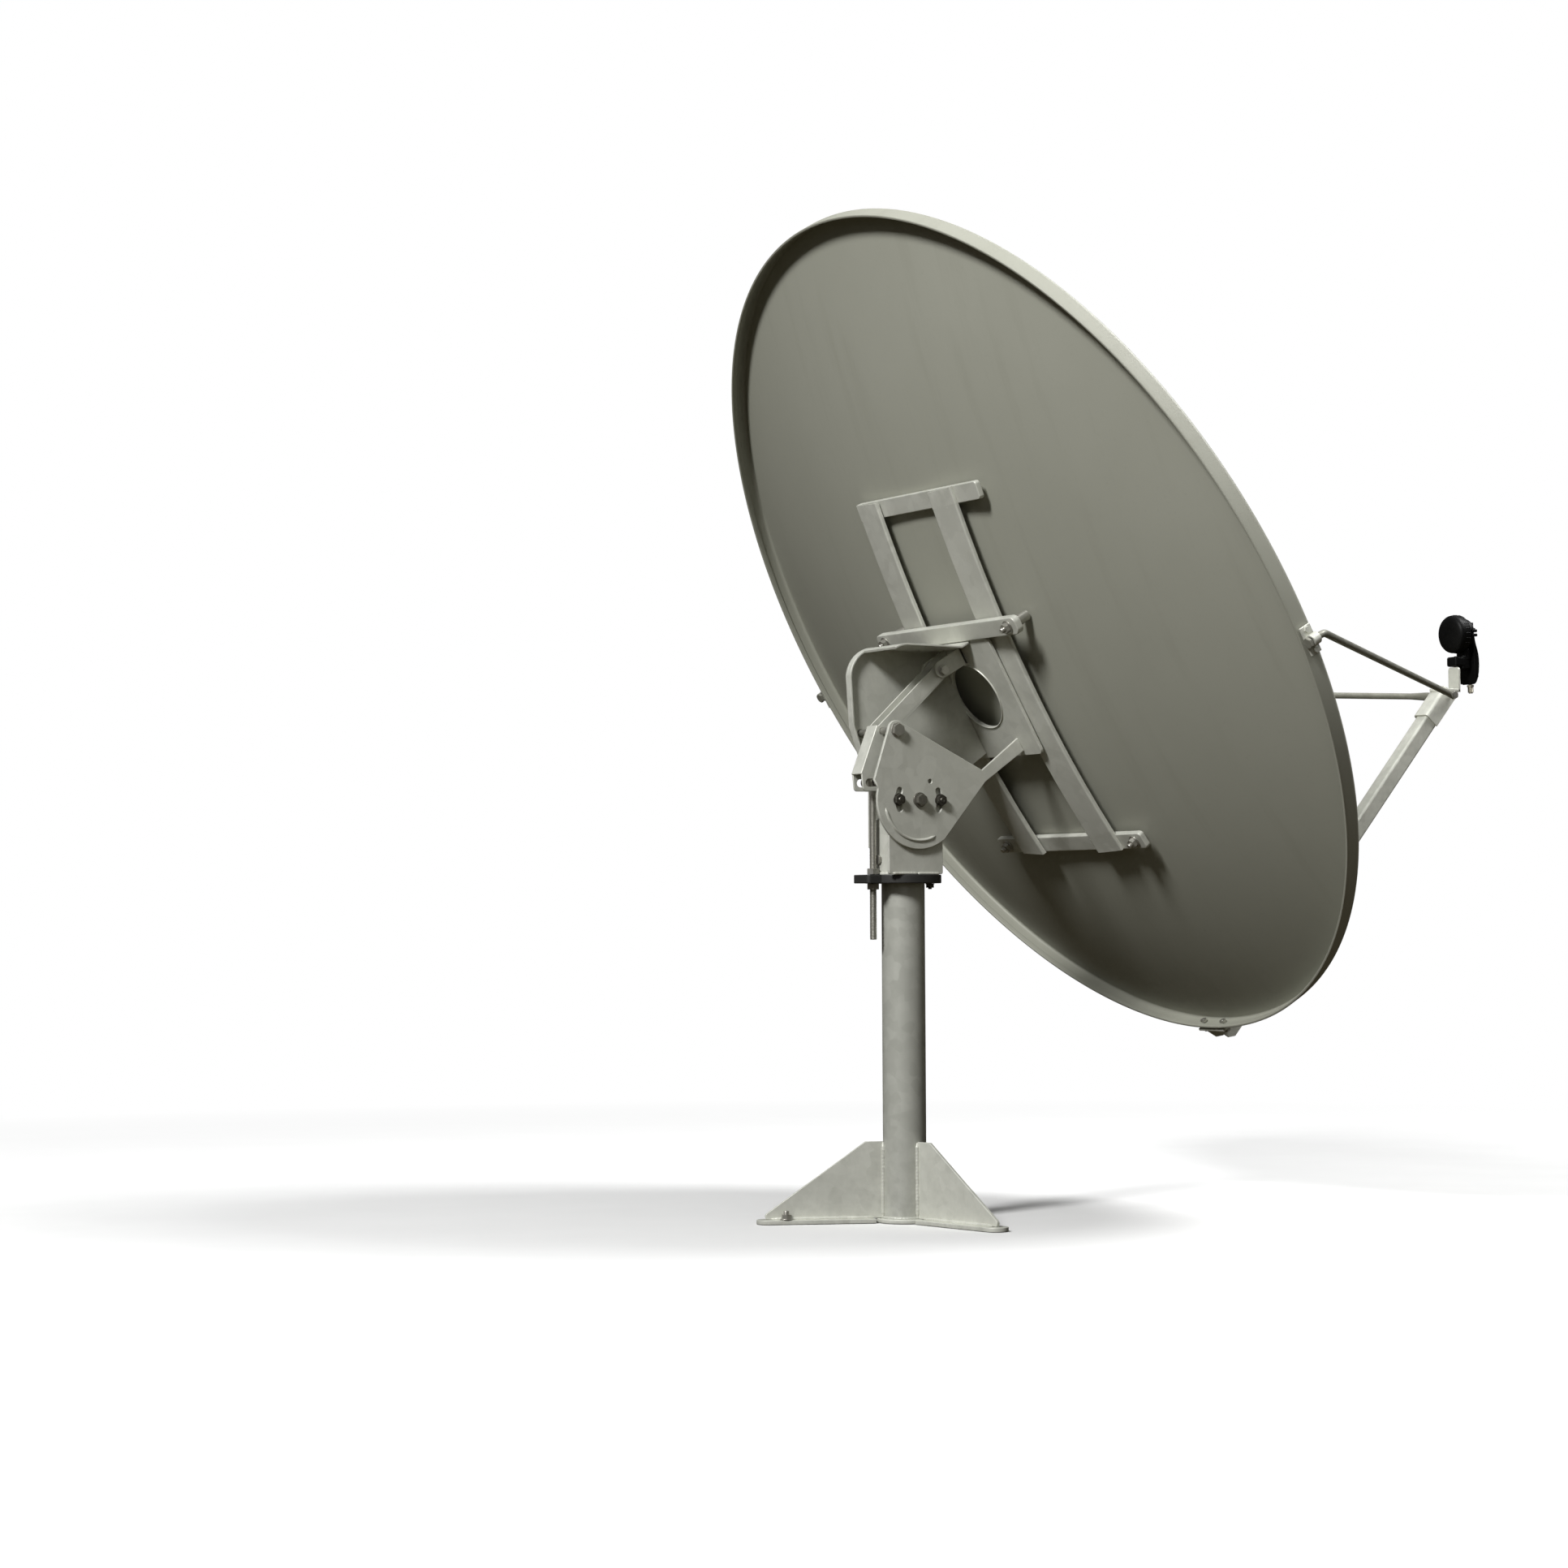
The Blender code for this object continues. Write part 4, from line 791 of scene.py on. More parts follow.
def build_azimuth_head():
    bore = POLE_RADIUS + 0.0005

    def canister(bm):
        r, top, low = CANISTER_RADIUS, CANISTER_TOP, CANISTER_BOTTOM
        lathe(bm, GROUND, [
            (0.006, top), (r - 0.0022, top), (r - 0.0007, top - 0.0007), (r, top - 0.0022),
            (r, top - 0.02), (r, low + 0.02), (r, low + 0.0005), (r - 0.0005, low),
            (bore, low), (bore, top - 0.006), (0.006, top - 0.006),
        ], 112, closed=True)
        ring = [Vector((x, y, low + 0.0008))
                for x, y in arc((0, 0), r + 0.0012, 0, 358, 90)]
        weld(bm, ring, 0.0028, 51)

    fine("az_canister", canister)
    for side, sign in SIDES:
        def cheek(bm, side=side, sign=sign):
            holes = [
                circle((PIVOT.y, PIVOT.z), 0.0064, 32),
                circle((PIVOT.y - SLOT_RADIUS, PIVOT.z), 0.0044, 24),
            ]
            rear = PIVOT.y + 0.040
            if side == "right":
                holes.append(circle((PIVOT.y + SLOT_RADIUS, PIVOT.z), 0.0044, 24))
            else:
                rear = LEFT_REAR_Y - 0.004
            half = CHEEK_THICKNESS / 2
            extrude(bm, upright(sign * CHEEK_X), cheek_outline(side), -half, half, 0.0006, holes)
            for y in (PIVOT.y - 0.036, rear):
                foot = [Vector((sign * (CHEEK_X + half + 0.0006), at, CANISTER_BOTTOM + 0.001))
                        for at in (y, PIVOT.y)]
                weld(bm, foot, 0.0019, 61 + sign + round(y * 100))

        fine(f"az_cheek_{side}", cheek)

    def flange(bm):
        ear = [(0.0220, 0.0488), (0.0212, 0.056), *arc((0.0150, 0.0640), 0.006, 10, 90, 6),
               *arc((-0.0150, 0.0640), 0.006, 90, 170, 6), (-0.0212, 0.056), (-0.0220, 0.0488)]
        outline = [*ear, *arc((0, 0), 0.0535, 114.3, 425.7, 80)]
        extrude(bm, GROUND, outline, FLANGE_BOTTOM, CANISTER_BOTTOM - GAP, 0.0012,
                [circle((0, 0), bore, 80), circle((0, ROD_Y), ROD_RADIUS + 0.0006, 28),
                 circle((0, EARTH_BOLT_Y), 0.0033, 24)], 3)

    fine("az_flange", flange, BLACK_STEEL)
    build_set_bolts()
    reach = SIDE_X + SIDE_THICKNESS / 2 + GAP

    def pivot(bm):
        through_bolt(bm, side_axis(PIVOT), reach, (0.0058, 0.007, 0.009), (0.0057, 0.006, 0.013),
                     (0.0060, 0.0104, 0.0022), 0.0082, (0.0095, 0.0105), 0.0008, 40)

    fine("pivot_bolt", pivot, DULL_ZINC)
    for side, sign in SIDES:
        for end, shift in (("front", -SLOT_RADIUS), ("rear", SLOT_RADIUS)):
            if (side, end) == ("left", "rear"):
                continue

            def lock(bm, sign=sign, shift=shift):
                place = side_axis(Vector((0, PIVOT.y + shift, PIVOT.z)), sign)
                inner = CHEEK_X - 0.0025
                threaded(bm, place, 0.0039, inner, reach + 0.0088)
                collar(bm, place, 0.0040, 0.0088, reach, reach + 0.0012)
                hexagon(bm, place, 0.0080, reach + 0.0012, reach + 0.0066)

            fine(f"lock_bolt_{side}_{end}", lock, DARK_ZINC)
    for level, (low, high) in {
        "upper": (CANISTER_BOTTOM + 0.0001, CANISTER_BOTTOM + 0.0083),
        "lower": (FLANGE_BOTTOM - 0.0085, FLANGE_BOTTOM - GAP),
    }.items():
        def nut(bm, low=low, high=high):
            place = Matrix.Translation((0, ROD_Y, 0))
            hexagon(bm, place, 0.0092, low, high, ROD_RADIUS + 0.0003)

        fine(f"jack_nut_{level}", nut, ZINC)


def build_set_bolts():
    for name, sign in (("rear", 1), ("front", -1)):
        def bolt(bm, sign=sign):
            place = columns((1, 0, 0), (0, 0, -sign), (0, sign, 0),
                            (0, sign * POLE_RADIUS, SET_BOLT_Z))
            threaded(bm, place, 0.0040, 0.0002, 0.0115)
            hexagon(bm, place, 0.0070, 0.0088, 0.0126)

        fine(f"set_bolt_{name}", bolt, ZINC)

    def earth(bm):
        place = Matrix.Translation((0, EARTH_BOLT_Y, 0))
        threaded(bm, place, 0.0030, FLANGE_BOTTOM - 0.008, CANISTER_BOTTOM - 0.002)
        hexagon(bm, place, 0.0062, FLANGE_BOTTOM - 0.0060, FLANGE_BOTTOM - 0.0012)
        collar(bm, place, 0.0031, 0.0066, FLANGE_BOTTOM - 0.0012, FLANGE_BOTTOM - 0.0002)

    fine("earth_bolt", earth, DARK_ZINC)


# ---------------------------------------------------------------- elevation screw
def build_jack():
    def rod(bm):
        place = Matrix.Translation((0, ROD_Y, 0))
        eye = 0.0105
        threaded(bm, place, ROD_RADIUS, ROD_BOTTOM, PIN_Z - eye - 0.006, 0.0015, 6, 24)
        lathe(bm, place, rod_end(0.0049, PIN_Z - eye - 0.0075, PIN_Z - eye + 0.0012), 32)
        collar(bm, side_axis(Vector((0, ROD_Y, PIN_Z))), 0.0043, eye, -0.0080, 0.0080, 0.0012)

    fine("jack_rod", rod, ZINC)

    def pin(bm):
        place = side_axis(Vector((0, ROD_Y, PIN_Z)))
        lathe(bm, place, rod_end(0.0040, -0.0203, 0.0203, 0.0005), 32)
        for low, high in ((-0.0205, -0.0172), (0.0172, 0.0205)):
            collar(bm, place, 0.0037, 0.0072, low, high, 0.0007)

    fine("jack_pin", pin, ZINC)


# ---------------------------------------------------------------- elevation head
def curved_slot(centre, radius, start, end, half_width, steps=16):
    outer = arc(centre, radius + half_width, start, end, steps)
    inner = arc(centre, radius - half_width, end, start, steps)
    end_centre = arc(centre, radius, end, end, 1)[0]
    start_centre = arc(centre, radius, start, start, 1)[0]
    cap_end = arc(end_centre, half_width, end, end + 180, 8)[1:-1]
    cap_start = arc(start_centre, half_width, start + 180, start + 360, 8)[1:-1]
    return outer + cap_end + inner + cap_start


def build_side_plates():
    y, z = PIVOT.y, PIVOT.z
    behind_hub = HUB_BACK + HUB_THICKNESS + 0.0005
    hub_top = from_dish(behind_hub, BAR_U["mid"] - BAR_HEIGHT / 2 - 0.001)
    hub_low = from_dish(behind_hub, -0.128)
    apex = (CROSS_BOLT.y, CROSS_BOLT.z)
    quadrant = arc((y, z), QUADRANT_RADIUS, 14, -128, 56)
    front_corner = (-0.106, 0.612)
    arm_top = from_dish(behind_hub, -0.108)
    rear_edge = (0.0765, 0.612)
    low = [*arc(apex, 0.0135, 135, 30, 16), rear_edge, *quadrant, front_corner, hub_low,
           arm_top, (-0.101, 0.628)]
    corner = (0.0160, 0.7565)
    cut_angle = -math.degrees(math.acos((LEFT_REAR_Y - y) / QUADRANT_RADIUS))
    behind_bar = from_dish(behind_hub + 0.014, BAR_U["mid"] - BAR_HEIGHT / 2 - 0.0015)
    full = [hub_top, behind_bar, *arc(corner, 0.046, 93, 5, 24), (0.0570, 0.690),
            (0.0420, 0.648), (LEFT_REAR_Y, 0.624),
            *arc((y, z), QUADRANT_RADIUS, cut_angle, -128, 36), front_corner, hub_low]
    holes = [
        circle((y, z), 0.0063, 32),
        circle(apex, 0.0055, 28),
        curved_slot((y, z), SLOT_RADIUS, 180 - SLOT_HALF_ANGLE, 180 + SLOT_HALF_ANGLE, 0.0045),
        circle((y - 0.018, z + 0.026), 0.0032, 20),
    ]
    rear_slot = curved_slot((y, z), SLOT_RADIUS, -SLOT_HALF_ANGLE, SLOT_HALF_ANGLE, 0.0045)
    half = SIDE_THICKNESS / 2
    for side, sign, outline in (("left", 1, full), ("right", -1, low)):
        def plate(bm, side=side, sign=sign, outline=outline):
            cuts = holes + [rear_slot] if side == "right" else holes
            extrude(bm, upright(sign * SIDE_X), outline, -half, half, 0.0008, cuts, 3)
            outer = sign * (SIDE_X + half)
            first = -12 if side == "right" else -76
            bead = [Vector((outer, *point)) for point in arc((y, z), 0.0560, first, -118, 60)]
            sweep(bm, bead, lambda t: 0.0022 * min(1, 16 * min(t, 1 - t) + 0.15), 12)
            if side == "left":
                fold_left_plate(bm, behind_hub, corner)

        fine(f"side_plate_{side}", plate)
    reach = SIDE_X + half + GAP

    def cross(bm):
        through_bolt(bm, side_axis(CROSS_BOLT), reach, (0.0050, 0.0060, 0.004),
                     (0.0049, 0.002, 0.0112), (0.0051, 0.0100, 0.0014), 0.0092,
                     (0.0074, 0.0084), sides=32)

    fine("strut_cross_bolt", cross, ZINC)


def fold_left_plate(bm, back, corner):
    """The shelf over the head and the rear lip, folded from the full side plate."""
    start = from_dish(back + 0.001, BAR_U["mid"] - BAR_HEIGHT / 2 - 0.003)
    rounded = arc(corner, 0.0443, 93, 5, 24)
    behind_bar = from_dish(back + 0.014, BAR_U["mid"] - BAR_HEIGHT / 2 - 0.0033)
    shelf = thick_line([start, behind_bar, *rounded[:10]], 0.003)
    lip = thick_line([*rounded[9:], (0.0560, 0.692), (0.0412, 0.6500)], 0.003)
    extrude(bm, upright(), shelf, -0.046, SIDE_X, 0.0007)
    extrude(bm, upright(), lip, 0.0370, SIDE_X, 0.0007)


def build_hub():
    half_x, low, high = 0.090, -0.136, BAR_U["mid"] - BAR_HEIGHT / 2 - 0.0006
    back, thickness, radius = HUB_BACK, HUB_THICKNESS, HUB_HOLE_RADIUS
    outline = rounded_rectangle(-half_x, half_x, low, high, 0.007)

    def hub(bm):
        place = DISH @ Matrix.Translation((0, 0, -back - thickness))
        hole = circle(HUB_HOLE, radius, 96)
        extrude(bm, place, outline, 0, thickness, 0.0009, [hole], 3)
        lip = place @ Matrix.Translation((*HUB_HOLE, 0))
        collar(bm, lip, radius - 0.0002, radius + 0.0016, -0.0016, 0.0012, 0.0006, 96)

    fine("hub_plate", hub)


def build_strut():
    cheek_x = 0.0118
    top = Vector((0, *from_dish(0.176, 0.026)))
    bend = CROSS_BOLT
    slot_z = PIVOT.z + 0.0242
    slot_y = PIVOT.y + 0.0479
    direction = (bend - top).normalized()
    across = Vector((0, -direction.z, direction.y))
    half = 0.0115
    tip_angle = math.degrees(math.atan2(-direction.z, -direction.y))
    crown_centre = (top + direction * (half * 0.35 - 0.010)).yz
    crown = arc(crown_centre, half, tip_angle - 90, tip_angle + 90, 10)
    low, rise = slot_z - 0.0115, slot_z + 0.012
    outline = [
        *crown,
        ((bend - across * half).y, (bend - across * half).z - 0.004),
        (slot_y - 0.0205, rise),
        *arc((slot_y - 0.0155, low + 0.005), 0.005, 180, 270, 6),
        *arc((slot_y + 0.0155, low + 0.005), 0.005, 270, 360, 6),
        (slot_y + 0.0225, rise),
        ((bend + across * half).y, (bend + across * half).z - 0.002),
    ]
    travel = 0.0105
    groove = arc((slot_y - travel, slot_z), 0.0056, 90, 270, 12)
    groove += arc((slot_y + travel, slot_z), 0.0056, -90, 90, 12)
    holes = [groove, circle((bend.y, bend.z), 0.0054, 28), circle((top.y, top.z), 0.0044, 24)]

    def strut(bm):
        for sign in (-1, 1):
            extrude(bm, upright(sign * cheek_x), outline, -0.0015, 0.0015, 0.0006, holes)
        length = (bend - top).length
        rounded_box(bm, along(top, bend), (2 * cheek_x + 0.003, 0.003, length - 0.020),
                    (0, half - 0.0016, length / 2 - 0.009), 0.0013, 3)
        bend_rear = (bend + across * half).yz
        fork_rear = Vector((slot_y + 0.0225, rise))
        run = (fork_rear - bend_rear).length
        back = along(Vector((0, *bend_rear)), Vector((0, *fork_rear)))
        rounded_box(bm, back, (2 * cheek_x + 0.003, 0.003, run), (0, 0, run / 2 + 0.0005), 0.0013,
                    3)

    fine("strut", strut)
    foot_back = HUB_BACK + HUB_THICKNESS + GAP
    place = DISH.inverted() @ top
    ear_x, ear = 0.0166, 0.004
    depth = -place.z + 0.012 - foot_back
    u = place.y + 0.002

    def clevis(bm):
        rounded_box(bm, DISH, (2 * ear_x + ear, 0.028, 0.005), (0, u, -foot_back - 0.0025), 0.0010)
        side = DISH @ columns((0, 1, 0), (0, 0, -1), (-1, 0, 0), (0, 0, 0))
        crest = foot_back + depth - 0.0125
        outline = [(u - 0.013, foot_back + 0.0006), (u + 0.013, foot_back + 0.0006),
                   *arc((u, crest), 0.0125, 0, 180, 20)]
        bore = circle((place.y, -place.z), 0.0044, 24)
        for sign in (-1, 1):
            extrude(bm, side, outline, sign * ear_x - ear / 2, sign * ear_x + ear / 2, 0.0007,
                    [bore])
            for du in (-0.0135, 0.0135):
                bead = [DISH @ Vector((x, u + du, -foot_back - 0.0052))
                        for x in (-sign * (ear_x + 0.001), -sign * (ear_x - 0.001))]
                weld(bm, bead, 0.0016, 71 + sign)

    fine("strut_clevis", clevis)
    outer = ear_x + ear / 2 + GAP

    def top_bolt(bm):
        through_bolt(bm, side_axis(top), outer, (0.0040, 0.004, 0.003), (0.0039, 0.001, 0.0085),
                     (0.0041, 0.0080, 0.0011), 0.0072, (0.0060, 0.0065))

    fine("strut_top_bolt", top_bolt, ZINC)


def folded_section(middle, thickness, bend):
    """The outline of a sheet folded along a polyline, with rounded bends."""
    corners = [Vector((x, z, 0)) for x, z in middle]
    return thick_line([(p.x, p.y) for p in rounded_path(corners, bend, 5)], thickness)


def bar_place(level):
    """The middle bar lies across the rails' faces; the others run under them, along the bowl."""
    u = BAR_U[level]
    if level == "mid":
        face = max(rail_back(u + step * BAR_HEIGHT / 2) for step in (-1.4, 0, 1.4))
        return DISH @ Matrix.Translation((0, u, -face - BAR_DEPTH[level] / 2 - GAP))
    half = BAR_HEIGHT / 2
    low, high = (dish_point(0, eta_at(u + step)).z for step in (-half, half))
    lean = math.atan2(high - low, BAR_HEIGHT)
    behind = (SHEET + BAR_OFF_DISH + BAR_DEPTH[level] / 2) / math.cos(lean)
    middle = Matrix.Translation((0, u, (low + high) / 2 - behind))
    return DISH @ middle @ Matrix.Rotation(lean, 4, "X")


def build_rail(side, sign):
    """A folded channel along the bowl, with its walls cut away where the bars pass under it."""
    low, high = BAR_U["bottom"] - 0.010, BAR_U["top"] + 0.010
    first, last = eta_at(low, RAIL_X), eta_at(high, RAIL_X)
    start = SHEET + RAIL_OFF_DISH
    top = start + RAIL_DEPTH - RAIL_SHEET / 2
    half = RAIL_WIDTH / 2 - RAIL_SHEET / 2
    lip_end = top - RAIL_LIP
    cuts = []
    for level in ("top", "bottom"):
        reach = BAR_HEIGHT / 2 + 1.5 * GAP
        bar = bar_place(level)
        edges = [(bar @ Vector((0, v, 0))) for v in (-reach, reach)]
        span = [eta_at((DISH.inverted() @ p).y, RAIL_X) for p in edges]
        cuts.append((level, bar, *sorted(span)))
    etas = {first + (last - first) * k / 72 for k in range(73)}
    for _, _, a, b in cuts:
        etas |= {a, a + 0.00002, b - 0.00002, b}
    etas = sorted(eta for eta in etas if first - 1e-9 <= eta <= last + 1e-9)

    def wall_end(x, eta, plain):
        for level, bar, a, b in cuts:
            if a + 0.00001 < eta < b - 0.00001:
                near, far = (
                    (bar.inverted() @ DISH @ dish_point(sign * RAIL_X + x, eta, h)).z
                    for h in (0.0, 0.03)
                )
                edge = -BAR_DEPTH[level] / 2 - GAP
                return max(plain, 0.03 * (near - edge) / (near - far))
        return plain

    def rail(bm):
        rows = []
        for eta in etas:
            leg = min(wall_end(half, eta, start), top - 0.0002)
            lip = wall_end(-half, eta, 0.0)
            tip = min(max(lip_end, lip), top - 0.0002)
            section = folded_section([(half, leg), (half, top), (-half, top), (-half, tip)],
                                     RAIL_SHEET, 0.0042)
            rows.append([DISH @ dish_point(sign * RAIL_X + x, eta, behind)
                         for x, behind in section])
        loft(bm, rows)

    fine(f"rail_{side}", rail)


def build_crossbar(level):
    half_height, corner = BAR_HEIGHT / 2, 0.009 if level == "mid" else 0.005
    outline = rounded_rectangle(-BAR_HALF_LENGTH, BAR_LEFT[level], -half_height, half_height,
                                corner, 8)
    holes = [circle((sign * BOLT_X, 0), 0.0046, 24) for sign in (1, -1)]
    place = bar_place(level)

    def bar(bm):
        half = BAR_DEPTH[level] / 2
        extrude(bm, place, outline, -half, half, 0.0016, holes if level != "top" else (), 4)

    fine(f"crossbar_{level}", bar)
    if level == "top":
        return
    for side, sign in SIDES:
        build_dish_bolt(f"dish_bolt_{level}_{side}", level, sign * BOLT_X)


def build_dish_bolt(name, level, x):
    place = bar_place(level) @ Matrix.Translation((x, 0, 0))
    surface = (place.inverted() @ DISH @ dish_point(x, eta_at(BAR_U[level], x))).z
    half, room = BAR_DEPTH[level] / 2, 0.0028

    def bolt(bm):
        crown = surface + room
        lathe(bm, place, rod_end(0.0041, -half - 0.007, crown + 0.001), 28)
        threaded(bm, place, 0.0041, -half - 0.013, -half - 0.006)
        lathe(bm, place, [
            (0, crown + 0.0034), (0.0035, crown + 0.0032), (0.0066, crown + 0.0024),
            (0.0088, crown + 0.0011), (0.0095, crown + 0.0001), (0.0093, crown - 0.0004),
            (0.0060, crown - 0.0006), (0, crown - 0.0006),
        ], 40)
        lathe(bm, place, rod_end(0.0080, surface - SHEET - room, half + GAP, 0.0006)[::-1], 36)
        collar(bm, place, 0.0043, 0.0098, -half - 0.0015, -half - GAP / 2)
        hexagon(bm, place, 0.0075, -half - 0.0082, -half - 0.0015)

    fine(name, bolt, ZINC)


# ---------------------------------------------------------------- reflector
def rim_section():
    """(out, back) beside the rim: over the roll, down the flange and round its folded hem."""
    roll = [(FLANGE_OUT * math.sin(a), 0.0058 * (1 - math.cos(a)))
            for a in (math.pi / 2 * k / 8 for k in range(1, 9))]
    outer = roll + [(FLANGE_OUT, 0.012), (FLANGE_OUT, 0.018), (FLANGE_OUT, 0.0245)]
    hem = [(0.0047, 0.0256), (0.0040, 0.0260), (0.0022, 0.0260), (0.0014, 0.0256),
           (0.0010, 0.0247), (0.0010, 0.0190), (0.0015, 0.0182), (0.0030, 0.0179)]
    inner = [(0.0030, 0.0110), (0.0030, 0.0068), (0.0024, 0.0048), (0.0012, 0.0032),
             (-0.0008, 0.0024)]
    return outer + hem + inner


def build_reflector():
    segments, rings = 256, 44

    def reflector(bm):
        section = rim_section()
        radii = [APERTURE_RADIUS * k / rings for k in range(rings + 1)]
        table = []
        for index in range(segments):
            angle = 2 * math.pi * index / segments
            cos, sin = math.cos(angle), math.sin(angle)
            outward = Vector((cos, sin * math.cos(TAU), 0)).normalized()
            line = [dish_point(r * cos, APERTURE_OFFSET + r * sin) for r in radii[1:]]
            rim = line[-1]
            line += [rim + outward * out - Vector((0, 0, back)) for out, back in section]
            line += [dish_point(r * cos, APERTURE_OFFSET + r * sin, SHEET)
                     for r in reversed(radii[1:-1])]
            table.append([bm.verts.new(DISH @ point) for point in line])
        centres = [bm.verts.new(DISH @ dish_point(0, APERTURE_OFFSET, behind))
                   for behind in (0, SHEET)]
        for here, after in zip(table, table[1:] + table[:1]):
            for k in range(len(here) - 1):
                bm.faces.new((here[k], here[k + 1], after[k + 1], after[k]))
            bm.faces.new((centres[0], here[0], after[0]))
            bm.faces.new((here[-1], centres[1], after[-1]))

    fine("reflector", reflector, PAINT, smooth=70)


# ---------------------------------------------------------------- feed
def rounded_square(half, radius):
    return rounded_rectangle(-half, half, -half, half, radius)


def arm_ear_outline():
    low = RIM_HEIGHT_HALF + FLANGE_OUT + SHEET
    behind_and_below = [
        (0.021, low + 0.0010), (0.021, low + 0.0060), (0.0115, low + 0.0215),
        (0.0, low + 0.0262), (-0.0544, low + 0.0080), (-0.0444, low - 0.0206),
        (-0.0110, low - 0.0100), (-0.0050, low + 0.0010),
    ]
    return [from_dish(behind, -below) for behind, below in behind_and_below]


def build_arm():
    direction = (FEED_TIP - ARM_FOOT).normalized()
    start, end = ARM_FOOT + direction * 0.018, FEED_TIP - direction * 0.010
    half = ARM_SIDE / 2
    length = (end - start).length

    def arm(bm):
        place = along(start, end)
        extrude(bm, place, rounded_square(half, 0.0042), 0, length, 0.0004,
                [rounded_square(half - 0.002, 0.0024)])
        plug = half - 0.0022
        extrude(bm, place, rounded_square(plug, 0.0022), length - 0.02, length - 0.0004, 0.0008)

    fine("feed_arm", arm)
    rim_low = Vector((0, -RIM_HEIGHT_HALF - FLANGE_OUT - SHEET, 0))
    foot = 0.004
    ear_x = half + 0.0004 + 0.0015
    arm_frame = along(ARM_FOOT, end)
    places = [arm_frame @ Vector((0, 0, distance)) for distance in (0.031, 0.053)]

    def bracket(bm):
        rounded_box(bm, DISH, (0.060, foot, 0.030), (0, rim_low.y - foot / 2 - GAP, -0.009),
                    0.0011)
        bores = [circle((place.y, place.z), 0.0040, 24) for place in places]
        for sign in (-1, 1):
            extrude(bm, upright(sign * ear_x), arm_ear_outline(), -0.0015, 0.0015, 0.0006, bores)

    fine("feed_arm_bracket", bracket)
    outer = ear_x + 0.0015 + GAP
    for name, centre in zip(("lower", "upper"), places):
        def bolt(bm, centre=centre):
            through_bolt(bm, side_axis(centre), outer, (0.0036, 0.004, 0.002),
                         (0.0036, 0.001, 0.0075), (0.0037, 0.0074, 0.0010), 0.0064,
                         (0.0054, 0.0060))

        fine(f"arm_bolt_{name}", bolt, ZINC)

    def flange_bolts(bm):
        """Two bolts through the bracket's foot and the rim's flange."""
        for sign in (-1, 1):
            place = DISH @ columns((1, 0, 0), (0, 0, 1), (0, -1, 0),
                                   (sign * 0.023, rim_low.y - GAP, -0.0135))
            lathe(bm, place, rod_end(0.0028, -0.0105, foot + 0.003, 0.0005), 24)
            hexagon(bm, place, 0.0058, foot, foot + 0.0042)
            hexagon(bm, place, 0.0056, -0.0100, -0.0056)

    piece("bracket_flange_bolts", flange_bolts, ZINC, body="elevation_head")


def rim_point(u, sign, out=0.0, back=0.0):
    across = APERTURE_RADIUS * math.sqrt(1 - (u / RIM_HEIGHT_HALF) ** 2)
    return DISH @ Vector((sign * (across + out), u, -back))


def build_stays():
    tip_x = ARM_SIDE / 2 + 0.0085
    ahead = DISH.to_3x3() @ Vector((0, 0, 1))
    for side, sign in SIDES:
        place = rim_point(STAY_U, sign, FLANGE_OUT + SHEET + 0.0004, 0.015)
        start = place + Vector((sign, 0, 0)) * 0.0105
        tip = FEED_TIP + Vector((sign * tip_x, 0, 0))
        bend = start + ahead * 0.019

        def stay(bm, start=start, bend=bend, tip=tip):
            path = rounded_path([start - ahead * 0.004, bend, tip], 0.010, 10)
            path = subdivided(path, 0.012)
            length = sum((b - a).length for a, b in zip(path, path[1:]))

            def oval(t):
                """The last 18 mm is pressed flat for the tip's bolt, after a 12 mm taper."""
                press = min(1, max(0, (t * length - length + 0.030) / 0.012))
                return (1 - 0.5 * press, 1 + 0.35 * press)

            sweep(bm, path, lambda t: STAY_RADIUS, 20, oval)
            hexagon(bm, along(start - ahead * 0.013, start), 0.0078, 0.0010, 0.0058)

        fine(f"stay_{side}", stay, STAY_STEEL)

        def clip(bm, sign=sign, place=place):
            clip_frame = DISH @ Matrix.Translation(DISH.inverted() @ place)
            rounded_box(bm, clip_frame, (0.0036, 0.040, 0.018), (sign * 0.0024, 0, 0.001), 0.0010)
            outline = circle((sign * 0.0105, 0), 0.0082, 36)
            bore = circle((sign * 0.0105, 0), STAY_RADIUS + 0.0005, 28)
            extrude(bm, clip_frame, outline, -0.005, 0.007, 0.0007, [bore])
            for du in (-0.0145, 0.0145):
                head = clip_frame @ columns((0, 1, 0), (0, 0, 1), (1, 0, 0), (0, du, 0.001))
                if sign < 0:
                    head = head @ Matrix.Rotation(math.pi, 4, "X")
                hexagon(bm, head, 0.0046, 0.0040, 0.0072)

        fine(f"stay_clip_{side}", clip)

    def tip_bolt(bm):
        place = side_axis(FEED_TIP)
        reach = tip_x + 0.0032
        lathe(bm, place, rod_end(0.0030, -reach - 0.003, reach + 0.005, 0.0005), 24)
        for low, high in ((-reach - 0.0048, -reach), (reach, reach + 0.0048)):
            hexagon(bm, place, 0.0060, low, high)

    piece("stay_tip_bolt", tip_bolt, ZINC, body="elevation_head")


def feed_frame():
    return along(NECK_CENTRE, HORN_AIM)


